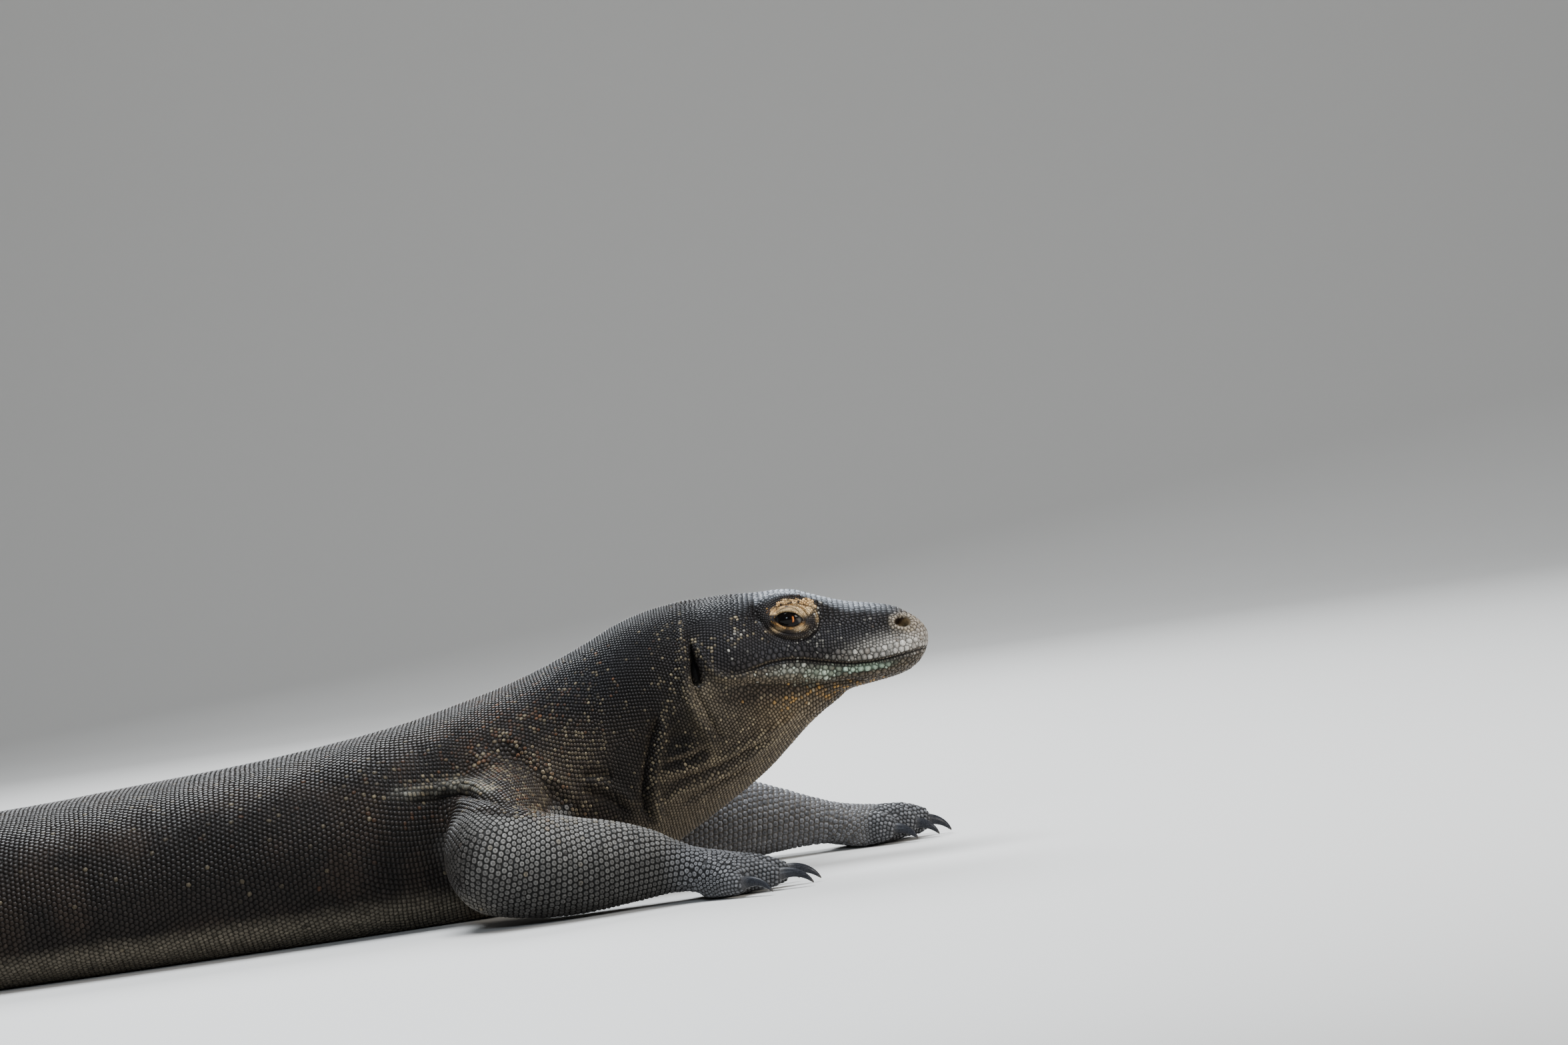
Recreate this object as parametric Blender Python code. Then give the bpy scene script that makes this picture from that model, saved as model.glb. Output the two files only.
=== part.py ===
"""A life-size Komodo dragon lying on its belly with its head raised, in metres, +Z up.

The animal faces +X and its left side is +Y. Its flesh is divided at the places that have names, and each
piece is one closed solid that stands 0.3 mm off its neighbours. Everything is first laid out round the
near elbow, and at the end the whole animal is set on the middle of its own footprint.
"""

import math

import bmesh
import bpy
import numpy as np
from mathutils import Vector

GAP = 0.0003  # between two solids that touch in life
FLOOR = 0.0

# ---------------------------------------------------------------- driving dimensions
SNOUT_X = 0.3725  # the snout's tip, ahead of the near elbow
TAIL_BASE_X = -0.76
TAIL_LENGTH = 1.22
TAIL_BEND_START_X = -0.62  # the back is straight ahead of this
TAIL_SWAY_DEG = 27.0  # how far the tail's heading swings off the body's line
TAIL_SWAY_LENGTH = 1.35  # length of one whole sway
TAIL_TIP_RADIUS = 0.0035

BODY_SIDES = 24  # points round the trunk and neck
HEAD_SIDES = 26
TAIL_SIDES = 16
LIMB_SIDES = 11
DIGIT_SIDES = 8
CLAW_SIDES = 6

EYE_CENTRE = (0.2704, 0.0300, 0.1880)  # of the left eye
EYE_RADIUS = 0.0105
EYE_SEGMENTS = 14
EYE_RINGS = 8

# ---------------------------------------------------------------- cross-sections
# Each row is one slice across the animal: the back's point (x, z), the underside's point (x, z), half
# the width, how far up the slice it is widest, and how square it is above and below that height.
HEAD_SLICES = (
    ((0.3722, 0.1620), (0.3700, 0.1505), 0.0080, 0.50, 2.2, 2.2),
    ((0.3702, 0.1672), (0.3672, 0.1455), 0.0150, 0.48, 2.3, 2.2),
    ((0.3655, 0.1733), (0.3615, 0.1403), 0.0208, 0.45, 2.4, 2.2),
    ((0.3586, 0.1798), (0.3540, 0.1369), 0.0243, 0.42, 2.5, 2.2),
    ((0.3492, 0.1856), (0.3460, 0.1344), 0.0264, 0.38, 2.5, 2.3),
    ((0.3345, 0.1898), (0.3320, 0.1323), 0.0280, 0.36, 2.5, 2.4),
    ((0.3160, 0.1936), (0.3130, 0.1300), 0.0300, 0.38, 2.6, 2.4),
    ((0.3000, 0.1988), (0.2950, 0.1278), 0.0326, 0.42, 2.8, 2.4),
    ((0.2830, 0.2050), (0.2760, 0.1262), 0.0362, 0.45, 3.0, 2.4),
    ((0.2650, 0.2090), (0.2570, 0.1262), 0.0402, 0.45, 3.0, 2.4),
    ((0.2480, 0.2096), (0.2380, 0.1282), 0.0450, 0.46, 2.6, 2.4),
    ((0.2320, 0.2108), (0.2220, 0.1318), 0.0488, 0.47, 2.4, 2.3),
    ((0.2160, 0.2115), (0.2090, 0.1372), 0.0492, 0.48, 2.3, 2.2),
    ((0.2020, 0.2095), (0.1980, 0.1450), 0.0455, 0.50, 2.2, 2.1),
    ((0.1900, 0.2050), (0.1890, 0.1540), 0.0375, 0.52, 2.1, 2.0),
    ((0.1810, 0.1980), (0.1815, 0.1640), 0.0240, 0.54, 2.0, 2.0),
)

BODY_SLICES = (
    ((0.2450, 0.2020), (0.3050, 0.1262), 0.0220, 0.50, 2.0, 2.0),
    ((0.2230, 0.2085), (0.2790, 0.1095), 0.0420, 0.50, 2.0, 1.9),
    ((0.2015, 0.2112), (0.2435, 0.0800), 0.0530, 0.52, 2.0, 1.8),
    ((0.1810, 0.2098), (0.2120, 0.0600), 0.0600, 0.52, 2.0, 1.8),
    ((0.1603, 0.2062), (0.1870, 0.0455), 0.0650, 0.52, 2.0, 1.9),
    ((0.1391, 0.1994), (0.1616, 0.0315), 0.0700, 0.50, 2.0, 2.0),
    ((0.1160, 0.1890), (0.1340, 0.0180), 0.0765, 0.48, 2.0, 2.1),
    ((0.0870, 0.1775), (0.1000, 0.0060), 0.0845, 0.46, 2.0, 2.3),
    ((0.0530, 0.1665), (0.0600, -0.0030), 0.0920, 0.45, 2.1, 2.5),
    ((0.0160, 0.1577), (0.0180, -0.0060), 0.0980, 0.45, 2.1, 2.6),
    ((-0.0250, 0.1489), (-0.0250, -0.0060), 0.1030, 0.44, 2.1, 2.7),
    ((-0.0800, 0.1413), (-0.0800, -0.0060), 0.1100, 0.43, 2.1, 2.8),
    ((-0.1500, 0.1347), (-0.1500, -0.0060), 0.1190, 0.42, 2.1, 2.8),
    ((-0.2300, 0.1303), (-0.2300, -0.0060), 0.1260, 0.42, 2.1, 2.8),
    ((-0.3100, 0.1260), (-0.3100, -0.0060), 0.1290, 0.42, 2.1, 2.8),
    ((-0.4050, 0.1240), (-0.4050, -0.0060), 0.1270, 0.42, 2.1, 2.8),
    ((-0.4950, 0.1215), (-0.4950, -0.0060), 0.1180, 0.43, 2.1, 2.7),
    ((-0.5850, 0.1170), (-0.5850, -0.0060), 0.0990, 0.44, 2.1, 2.6),
    ((-0.6600, 0.1115), (-0.6600, -0.0060), 0.0810, 0.45, 2.0, 2.5),
    ((-0.7150, 0.1060), (-0.7150, -0.0055), 0.0680, 0.46, 2.0, 2.4),
    ((-0.7600, 0.1005), (-0.7600, -0.0050), 0.0600, 0.47, 2.0, 2.4),
)
TAIL_BASE_SLICE = len(BODY_SLICES) - 1
TAIL_SLICES = 17  # further rows, worked out by tail_row()

# Where the body is divided, counted in rows of BODY_SLICES and then of the tail.
NECK_END = 7.0
BODY_CUTS = (
    ("neck", 0.0, NECK_END),
    ("chest", NECK_END, 11.0),
    ("belly", 11.0, 15.6),
    ("pelvis", 15.6, 20.0),
    ("tail_root", 20.0, 24.0),
    ("tail_middle", 24.0, 28.0),
    ("tail_rear", 28.0, 32.0),
    ("tail_tip", 32.0, 37.0),
)
CUT_SHARE = 0.010  # of a row's spacing, left open on each side of a cut through the neck and trunk

# The mouth's line seen from the side, from the snout's tip back to its corner, as (x, z).
MOUTH_LINE = (
    (0.3900, 0.1478),
    (0.3670, 0.1476),
    (0.3490, 0.1482),
    (0.3380, 0.1468),
    (0.3280, 0.1459),
    (0.3180, 0.1463),
    (0.3035, 0.1492),
    (0.2935, 0.1525),
    (0.2840, 0.1555),
    (0.2740, 0.1578),
    (0.2640, 0.1586),
    (0.2540, 0.1580),
    (0.2440, 0.1570),
    (0.2360, 0.1555),
    (0.2280, 0.1520),
)
JAW_HINGE_X = 0.2280
JAW_CUT_HALF = 0.0002

# ---------------------------------------------------------------- legs
# A leg is two lengths and a foot. Each length is a row of (x, y, z, half-width, half-height), for the
# side that it is on, from the body outwards.
NEAR_UPPER_ARM = (
    (0.0450, -0.0500, 0.0850, 0.036, 0.040),
    (0.0420, -0.0850, 0.0740, 0.037, 0.040),
    (0.0380, -0.1200, 0.0620, 0.037, 0.040),
    (0.0350, -0.1480, 0.0520, 0.037, 0.040),
)
NEAR_FOREARM = (
    (0.0360, -0.1600, 0.0500, 0.036, 0.0410),
    (0.0620, -0.1620, 0.0430, 0.036, 0.0385),
    (0.0900, -0.1610, 0.0380, 0.033, 0.0350),
    (0.1200, -0.1580, 0.0350, 0.028, 0.0305),
    (0.1450, -0.1550, 0.0310, 0.0235, 0.0250),
    (0.1640, -0.1530, 0.0265, 0.0220, 0.0190),
)
FAR_UPPER_ARM = (
    (0.0400, 0.0500, 0.0850, 0.036, 0.042),
    (0.0600, 0.0720, 0.0740, 0.038, 0.042),
    (0.0900, 0.0960, 0.0600, 0.037, 0.040),
    (0.1200, 0.1160, 0.0470, 0.036, 0.038),
)
FAR_FOREARM = (
    (0.1330, 0.1210, 0.0430, 0.035, 0.038),
    (0.1650, 0.1220, 0.0400, 0.034, 0.0370),
    (0.2050, 0.1230, 0.0350, 0.030, 0.0325),
    (0.2400, 0.1240, 0.0295, 0.024, 0.0245),
    (0.2670, 0.1250, 0.0250, 0.022, 0.0190),
)
THIGH = (
    (-0.6550, 0.0350, 0.0620, 0.046, 0.046),
    (-0.6350, 0.0800, 0.0600, 0.050, 0.047),
    (-0.6000, 0.1350, 0.0560, 0.046, 0.044),
    (-0.5650, 0.1850, 0.0520, 0.039, 0.040),
)
SHANK = (
    (-0.5550, 0.1980, 0.0480, 0.036, 0.039),
    (-0.5800, 0.2180, 0.0450, 0.034, 0.036),
    (-0.6150, 0.2400, 0.0390, 0.027, 0.028),
    (-0.6450, 0.2560, 0.0320, 0.0215, 0.0220),
    (-0.6580, 0.2640, 0.0280, 0.0210, 0.0195),
)

# A foot: the palm's length, half-width and half-height at its front, and for each digit its length, its
# angle from the foot's own line (positive towards the animal's midline), where it leaves the palm
# across its width (-1 outer edge to 1 inner edge) and how far forward, and its knuckle's height.
PALM_LENGTH = 0.038
PALM_HALF = (0.0300, 0.0160)
NEAR_DIGITS = (
    (0.034, 38.0, 0.85, 0.60, 0.024),
    (0.044, 18.0, 0.48, 0.85, 0.029),
    (0.050, 1.0, 0.06, 0.95, 0.030),
    (0.046, -15.0, -0.38, 0.88, 0.028),
    (0.036, -40.0, -0.80, 0.55, 0.023),
)
FAR_DIGITS = (
    (0.034, 25.0, 0.78, 0.80, 0.027),
    (0.045, 11.0, 0.44, 0.95, 0.030),
    (0.055, 0.0, 0.04, 1.00, 0.030),
    (0.050, -14.0, -0.38, 0.90, 0.028),
    (0.036, -40.0, -0.80, 0.55, 0.023),
)
SOLE_LENGTH = 0.058
SOLE_HALF = (0.0300, 0.0145)
HIND_DIGITS = (
    (0.034, 26.0, 0.84, 0.74, 0.017),
    (0.050, 16.0, 0.52, 0.90, 0.020),
    (0.064, 0.0, 0.08, 0.98, 0.022),
    (0.074, -15.0, -0.36, 0.86, 0.022),
    (0.046, -48.0, -0.80, 0.62, 0.018),
)
# How far each foot points out from straight ahead; the near hand is the right one.
NEAR_HAND_TURN_DEG = 6.0
FAR_HAND_TURN_DEG = 8.0
HIND_FOOT_TURN_DEG = 45.0

# Along a digit: the share of its length, half its width, and its top as a share of its knuckle's height.
LYING_DIGIT = ((0.0, 0.0095, 1.05), (0.35, 0.0100, 1.0), (0.7, 0.0085, 0.80), (1.0, 0.0068, 0.54))
CURLED_DIGIT = ((0.0, 0.0095, 1.05), (0.35, 0.0100, 1.02), (0.7, 0.0092, 0.94), (1.0, 0.0072, 0.66))
DIGIT_TIP_LIFT = 0.0022
JOINT_SHRINK = 0.80  # a length starts inside the one before it, this much smaller

# A claw: its length along its curve, and how many degrees it bends through from root to point.
LONG_CLAW = (0.028, 70.0)
CURLED_CLAW = (0.023, 62.0)
CLAW_POINT_HEIGHT = 0.0018
CLAW_ROOT = (0.0036, 0.0048)
CLAW_POINT = 0.0006
CLAW_RINGS = 5

# ---------------------------------------------------------------- finishes
SKIN_DARK = (0.050, 0.043, 0.038, 1.0)
SKIN_LIMB = (0.085, 0.080, 0.076, 1.0)
CLAW_HORN = (0.030, 0.028, 0.030, 1.0)
EYE_DARK = (0.012, 0.008, 0.006, 1.0)


def finish(name, colour, roughness):
    """One Principled material."""
    made = bpy.data.materials.new(name)
    made.use_nodes = True
    shader = made.node_tree.nodes["Principled BSDF"]
    shader.inputs["Base Color"].default_value = colour
    shader.inputs["Roughness"].default_value = roughness
    return made


# ---------------------------------------------------------------- rows and rings
def between(rows, t):
    """The row at position t of a table, on the smooth (Catmull-Rom) curve through its rows."""
    rows = np.asarray(rows, float)
    last = len(rows) - 1
    i = int(min(max(math.floor(t), 0), last - 1))
    u = t - i
    a, b = rows[max(i - 1, 0)], rows[i]
    c, d = rows[i + 1], rows[min(i + 2, last)]
    slope_b, slope_c = (c - a) / 2, (d - b) / 2
    return (
        (2 * u**3 - 3 * u**2 + 1) * b
        + (u**3 - 2 * u**2 + u) * slope_b
        + (3 * u**2 - 2 * u**3) * c
        + (u**3 - u**2) * slope_c
    )


def flat_row(back, under, half_width, widest, above, below):
    """A slice's row as eight plain numbers."""
    return (*back, *under, half_width, widest, above, below)


def slice_ring(row, sides, grow=0.0):
    """The ring of points round one slice: a superellipse whose upper and lower halves differ."""
    back, under = np.array(row[0:2]), np.array(row[2:4])
    half_width, widest, above, below = row[4:8]
    height = np.linalg.norm(back - under)
    up = (back - under) / height
    middle = under + up * height * widest
    turn = np.arange(sides) * 2 * math.pi / sides
    side, lift = np.sin(turn), np.cos(turn)
    power = np.where(lift > 0, above, below)
    reach = np.where(lift > 0, height * (1 - widest), height * widest) + grow
    across = (half_width + grow) * np.sign(side) * np.abs(side) ** (2 / power)
    along = reach * np.sign(lift) * np.abs(lift) ** (2 / power)
    return np.stack([middle[0] + along * up[0], across, middle[1] + along * up[1]], 1)


def tail_row(share):
    """A slice of the tail, share 0 at its base and 1 at its tip: taller than wide, and tapering."""
    base = BODY_SLICES[TAIL_BASE_SLICE]
    x = TAIL_BASE_X - TAIL_LENGTH * share
    taper = (1 - share) ** 0.92
    half_width = TAIL_TIP_RADIUS + (base[2] - TAIL_TIP_RADIUS) * taper * (1 - 0.30 * math.sin(math.pi * share))
    height = 2 * TAIL_TIP_RADIUS + (base[0][1] - 2 * TAIL_TIP_RADIUS) * taper * (1 - 0.12 * math.sin(math.pi * share))
    return flat_row((x, height), (x, base[1][1] * (1 - share)), half_width, 0.47, 2.0, 2.4 - 0.4 * share)


def plan_path():
    """Tables of x along a straight back, and the plan position and heading there once the tail sways."""
    x = np.linspace(TAIL_BEND_START_X, TAIL_BASE_X - TAIL_LENGTH - 0.05, 800)
    behind = TAIL_BEND_START_X - x
    rise = np.clip(behind / 0.25, 0, 1)
    heading = math.radians(TAIL_SWAY_DEG) * rise * np.sin(2 * math.pi * behind / TAIL_SWAY_LENGTH)
    step = np.gradient(behind)
    px = TAIL_BEND_START_X - np.cumsum(np.cos(heading) * step)
    py = np.cumsum(np.sin(heading) * step)
    return x, px, py, heading


PLAN = plan_path()


def swayed(points):
    """Points of a straight animal, moved to where the tail's sway carries them."""
    x, px, py, heading = (column[::-1] for column in PLAN)
    at = points[:, 0]
    behind = at < TAIL_BEND_START_X
    h = np.interp(at, x, heading)
    moved = points.copy()
    moved[:, 0] = np.where(behind, np.interp(at, x, px) + points[:, 1] * np.sin(h), at)
    moved[:, 1] = np.where(behind, np.interp(at, x, py) + points[:, 1] * np.cos(h), points[:, 1])
    return moved


def settled(points):
    """Points that would lie under the floor, pressed flat on it."""
    points = points.copy()
    points[:, 2] = np.maximum(points[:, 2], FLOOR)
    return points


# ---------------------------------------------------------------- solids from rings
def solid(name, rings, material, settle=True):
    """One closed solid through these rings: neighbouring rings bridged, and both ends capped."""
    bm = bmesh.new()
    loops = []
    for ring in rings:
        loops.append([bm.verts.new(point) for point in (settled(ring) if settle else ring)])
    for first, second in zip(loops, loops[1:]):
        for i in range(len(first)):
            j = (i + 1) % len(first)
            bm.faces.new((first[i], first[j], second[j], second[i]))
    bm.faces.new(loops[0][::-1])
    bm.faces.new(loops[-1])
    bmesh.ops.triangulate(bm, faces=bm.faces[:])
    bmesh.ops.recalc_face_normals(bm, faces=bm.faces[:])
    mesh = bpy.data.meshes.new(name)
    bm.to_mesh(mesh)
    bm.free()
    mesh.materials.append(material)
    mesh.shade_smooth()
    mesh.set_sharp_from_angle(angle=math.radians(50))
    made = bpy.data.objects.new(name, mesh)
    bpy.context.scene.collection.objects.link(made)
    return made


def as_helper(made):
    """Marks a cutter or an operand: it shapes another solid and isn't a piece itself."""
    made.hide_render = True
    made.display_type = "WIRE"
    return made


def boolean(made, other, operation):
    """A Boolean with one object, or with all of a collection."""
    step = made.modifiers.new(operation.title() + "_" + other.name, "BOOLEAN")
    step.operation = operation
    step.solver = "EXACT"
    if isinstance(other, bpy.types.Collection):
        step.operand_type = "COLLECTION"
        step.collection = other
    else:
        step.object = other
    return made


def tube_rings(path, sides, grow=0.0, round_start=True, round_end=True):
    """Rings square to a path of (x, y, z, half-width, half-height), with rounded ends where asked."""
    path = np.array(path, float)
    path[:, 3:5] += grow
    places = path[:, :3]
    along = np.gradient(places, axis=0)
    along /= np.linalg.norm(along, axis=1)[:, None]
    rows = [(p, d, r[3], r[4]) for p, d, r in zip(places, along, path)]
    if round_start:
        rows = dome(rows[0], -1) + rows
    if round_end:
        rows = rows + dome(rows[-1], 1)[::-1]
    return [tube_ring(*row, sides) for row in rows]


def dome(row, way):
    """Three rings that round off an end: the outermost first."""
    place, direction, half_width, half_height = row
    reach = (half_width + half_height) / 2
    made = []
    for angle in (78.0, 55.0, 28.0):
        out, shrink = math.sin(math.radians(angle)), math.cos(math.radians(angle))
        made.append((place + way * direction * reach * out, direction, half_width * shrink, half_height * shrink))
    return made


def tube_ring(place, direction, half_width, half_height, sides):
    """One ring: an ellipse square to direction, its flat axis level and a flat of it on top."""
    level = np.cross((0, 0, 1), direction)
    level /= np.linalg.norm(level)
    upright = np.cross(direction, level)
    turn = (np.arange(sides) + 0.5) * 2 * math.pi / sides
    return (
        place
        + np.outer(np.sin(turn) * half_width, level)
        + np.outer(np.cos(turn) * half_height, upright)
    )


def mirrored(path):
    """The same path on the animal's other side."""
    return [(x, -y, *rest) for x, y, *rest in path]


# ---------------------------------------------------------------- head
def head_rings(grow=0.0):
    rows = [flat_row(*row) for row in HEAD_SLICES]
    return [slice_ring(row, HEAD_SIDES, grow) for row in rows]


def jaw_block(name, half_gap):
    """Everything under the mouth's line, as a block across the head."""
    line = [Vector((x, 0.0, z + half_gap)) for x, z in MOUTH_LINE]
    low = 0.09
    outline = line + [
        Vector((JAW_HINGE_X - 0.010 + half_gap * -1, 0.0, 0.1400)),
        Vector((JAW_HINGE_X - 0.014 + half_gap * -1, 0.0, low)),
        Vector((line[0].x, 0.0, low)),
    ]
    bm = bmesh.new()
    face = bm.faces.new([bm.verts.new(p + Vector((0, -0.08, 0))) for p in outline])
    grown = bmesh.ops.extrude_face_region(bm, geom=[face])
    moved = [v for v in grown["geom"] if isinstance(v, bmesh.types.BMVert)]
    bmesh.ops.translate(bm, verts=moved, vec=(0, 0.16, 0))
    bmesh.ops.recalc_face_normals(bm, faces=bm.faces[:])
    mesh = bpy.data.meshes.new(name)
    bm.to_mesh(mesh)
    bm.free()
    made = bpy.data.objects.new(name, mesh)
    bpy.context.scene.collection.objects.link(made)
    return as_helper(made)


def ball(name, centre, radius, segments, rings, material=None):
    """A sphere whose poles point sideways, as an eye's do."""
    bm = bmesh.new()
    bmesh.ops.create_uvsphere(bm, u_segments=segments, v_segments=rings, radius=radius)
    mesh = bpy.data.meshes.new(name)
    bm.to_mesh(mesh)
    bm.free()
    if material:
        mesh.materials.append(material)
    mesh.shade_smooth()
    made = bpy.data.objects.new(name, mesh)
    made.location = centre
    made.rotation_euler = (math.radians(90), 0, 0)
    bpy.context.scene.collection.objects.link(made)
    return made


def build_head(skin, eye_finish):
    """The skull with its upper jaw, the lower jaw closed against it, and both eyes in their sockets."""
    sockets = []
    for side, y_sign in (("right", -1), ("left", 1)):
        x, y, z = EYE_CENTRE
        ball(f"eye_{side}", (x, y * y_sign, z), EYE_RADIUS, EYE_SEGMENTS, EYE_RINGS, eye_finish)
        sockets.append(as_helper(ball(f"socket_{side}", (x, y * y_sign, z), EYE_RADIUS + GAP, EYE_SEGMENTS, EYE_RINGS)))
    skull = solid("head", head_rings(), skin)
    boolean(skull, jaw_block("below_mouth", JAW_CUT_HALF), "DIFFERENCE")
    for socket in sockets:
        boolean(skull, socket, "DIFFERENCE")
    jaw = solid("lower_jaw", head_rings(), skin)
    boolean(jaw, jaw_block("jaw_region", -JAW_CUT_HALF), "INTERSECT")
    return as_helper(solid("head_room", head_rings(GAP), skin))


# ---------------------------------------------------------------- neck, trunk and tail
def body_rows():
    rows = [flat_row(*row) for row in BODY_SLICES]
    shares = [i / TAIL_SLICES for i in range(1, TAIL_SLICES + 1)]
    return rows + [tail_row(s) for s in shares]


def cut_share(t):
    """Half a cut, in rows: the tail's rows are about as far apart as the trunk's."""
    return CUT_SHARE if t < 8 else GAP / 2 / 0.05


def ring_places(start, end):
    """Where a piece of the body has its rings: at its two cuts and at every row, or half row, between."""
    low = start + (cut_share(start) if start > 0 else 0)
    high = end - (cut_share(end) if end < len(BODY_SLICES) - 1 + TAIL_SLICES else 0)
    if start < NECK_END:
        inner = np.arange(low + 0.5, high - 0.25, 0.5)
    else:
        inner = np.arange(math.floor(low) + 1, math.ceil(high))
    return [low, *inner, high]


def body_rings(places, sides, grow=0.0):
    rows = body_rows()
    return [swayed(slice_ring(between(rows, t), sides, grow)) for t in places]


def build_body(skin, head_room):
    """The neck, the trunk and the tail, and the room that the trunk takes up."""
    trunk = []
    for name, start, end in BODY_CUTS:
        places = ring_places(start, end)
        is_tail = name.startswith("tail")
        made = solid(name, body_rings(places, TAIL_SIDES if is_tail else BODY_SIDES), skin)
        if name == "neck":
            boolean(made, head_room, "DIFFERENCE")
        if not is_tail:
            trunk += places
    return as_helper(solid("body_room", body_rings(trunk, BODY_SIDES, GAP), skin))


# ---------------------------------------------------------------- legs and feet
def digit_path(start, heading, length, knuckle, rows):
    """A digit's path: out of the palm and over its knuckle, its pads along the floor all the way."""
    path = []
    for share, half_width, top in rows:
        half_height = top * knuckle / 2
        x = start[0] + math.cos(heading) * length * share
        y = start[1] + math.sin(heading) * length * share
        path.append((x, y, half_height + DIGIT_TIP_LIFT * share, half_width, half_height))
    return path


def claw_rings(root, heading, before, claw):
    """A claw: it leaves the digit's end, bends down as it thins, and ends in a point just off the floor."""
    length, bend = claw[0], math.radians(claw[1])
    level = np.array((math.cos(heading), math.sin(heading), 0.0))
    place = np.array(root[:3]) + before * GAP
    bowed = length * math.sin(bend / 2) / (bend / 2)
    rise = bend / 2 - math.asin((place[2] - CLAW_POINT_HEIGHT) / bowed)
    rings = [tube_ring(place, before, CLAW_ROOT[0], CLAW_ROOT[1], CLAW_SIDES)]
    for step in range(1, CLAW_RINGS):
        share = step / (CLAW_RINGS - 1)
        pitch = rise - bend * (share - 0.5 / (CLAW_RINGS - 1))
        direction = level * math.cos(pitch) + np.array((0, 0, math.sin(pitch)))
        place = place + direction * length / (CLAW_RINGS - 1)
        left = (1 - share) ** 0.75
        thick = [CLAW_POINT + (size - CLAW_POINT) * left for size in CLAW_ROOT]
        rings.append(tube_ring(place, direction, *thick, CLAW_SIDES))
    return rings


def palm_path(ankle, heading, length, half):
    """A palm's path: it starts small inside the ankle, and spreads and flattens towards the toes."""
    path = []
    for share in (0.0, 0.35, 0.7, 1.0):
        spread = ankle[3] * JOINT_SHRINK + (half[0] - ankle[3] * JOINT_SHRINK) * math.sin(share * math.pi / 2)
        thick = ankle[4] * JOINT_SHRINK + (half[1] - ankle[4] * JOINT_SHRINK) * share
        height = ankle[2] + (half[1] * 0.95 - ankle[2]) * share
        x = ankle[0] + math.cos(heading) * length * share
        y = ankle[1] + math.sin(heading) * length * share
        path.append((x, y, height, spread, thick))
    return path


def build_foot(name, ankle, foot, skin, horn, leg_room, under_floor):
    """A palm or sole, its five digits joined to it, and a claw of its own on each digit."""
    heading, palm_length, palm_half, digits, digit_rows, claw, inward = foot
    out = np.array((math.cos(heading), math.sin(heading)))
    across = np.array((-out[1], out[0])) * inward
    palm = palm_path(ankle, heading, palm_length, palm_half)
    foot = solid(name, tube_rings(palm, LIMB_SIDES, round_start=False), skin, settle=False)
    boolean(foot, leg_room, "DIFFERENCE")
    for number, (length, angle, place, forward, knuckle) in enumerate(digits, 1):
        turn = heading + math.radians(angle) * inward
        root = np.array(ankle[:2]) + out * palm_length * forward + across * palm_half[0] * 0.78 * place
        start = root - np.array((math.cos(turn), math.sin(turn))) * 0.006
        path = digit_path(start, turn, length, knuckle, digit_rows)
        rings = tube_rings(path, DIGIT_SIDES, round_start=False, round_end=False)
        boolean(foot, as_helper(solid(f"{name}_digit_{number}", rings, skin, settle=False)), "UNION")
        ending = np.array(path[-1][:3]) - np.array(path[-2][:3])
        solid(f"{name}_claw_{number}", claw_rings(path[-1], turn, ending / np.linalg.norm(ending), claw), horn)
    boolean(foot, under_floor, "DIFFERENCE")


def room(name, path, skin):
    """A length of leg grown by the gap, to cut the next one with."""
    return as_helper(solid(name + "_room", tube_rings(path, LIMB_SIDES, GAP), skin))


def build_leg(names, upper, lower, foot, skin, horn, body_room, under_floor):
    """An upper length cut to the body's side, a lower length cut to the joint, and the foot."""
    upper_name, lower_name, foot_name = names
    made = solid(upper_name, tube_rings(upper, LIMB_SIDES), skin)
    boolean(made, body_room, "DIFFERENCE")
    start = (*upper[-1][:3], upper[-1][3] * JOINT_SHRINK, upper[-1][4] * JOINT_SHRINK)
    made = solid(lower_name, tube_rings((start, *lower), LIMB_SIDES, round_start=False), skin)
    boolean(made, room(upper_name, upper, skin), "DIFFERENCE")
    build_foot(foot_name, lower[-1], foot, skin, horn, room(lower_name, lower, skin), under_floor)


def floor_block():
    """All the space under the animal's feet."""
    bm = bmesh.new()
    bmesh.ops.create_cube(bm, size=1.0)
    bmesh.ops.scale(bm, verts=bm.verts, vec=(6.0, 3.0, 0.2))
    bmesh.ops.translate(bm, verts=bm.verts, vec=(0, 0, FLOOR - 0.1))
    mesh = bpy.data.meshes.new("under_floor")
    bm.to_mesh(mesh)
    bm.free()
    made = bpy.data.objects.new("under_floor", mesh)
    bpy.context.scene.collection.objects.link(made)
    return as_helper(made)


def build_legs(skin, horn, body_room):
    """The right hand lies further back than the left one; the hind legs are a mirror pair."""
    rest = (skin, horn, body_room, floor_block())
    near = (math.radians(NEAR_HAND_TURN_DEG), PALM_LENGTH, PALM_HALF, NEAR_DIGITS, LYING_DIGIT, LONG_CLAW, 1)
    far = (math.radians(FAR_HAND_TURN_DEG), PALM_LENGTH, PALM_HALF, FAR_DIGITS, CURLED_DIGIT, CURLED_CLAW, -1)
    build_leg(("upper_arm_right", "forearm_right", "hand_right"), NEAR_UPPER_ARM, NEAR_FOREARM, near, *rest)
    build_leg(("upper_arm_left", "forearm_left", "hand_left"), FAR_UPPER_ARM, FAR_FOREARM, far, *rest)
    for side, thigh, shank, turn in (
        ("left", THIGH, SHANK, 1),
        ("right", mirrored(THIGH), mirrored(SHANK), -1),
    ):
        heading = math.radians(HIND_FOOT_TURN_DEG) * turn
        hind = (heading, SOLE_LENGTH, SOLE_HALF, HIND_DIGITS, LYING_DIGIT, LONG_CLAW, -turn)
        build_leg((f"thigh_{side}", f"shank_{side}", f"foot_{side}"), thigh, shank, hind, *rest)


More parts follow.
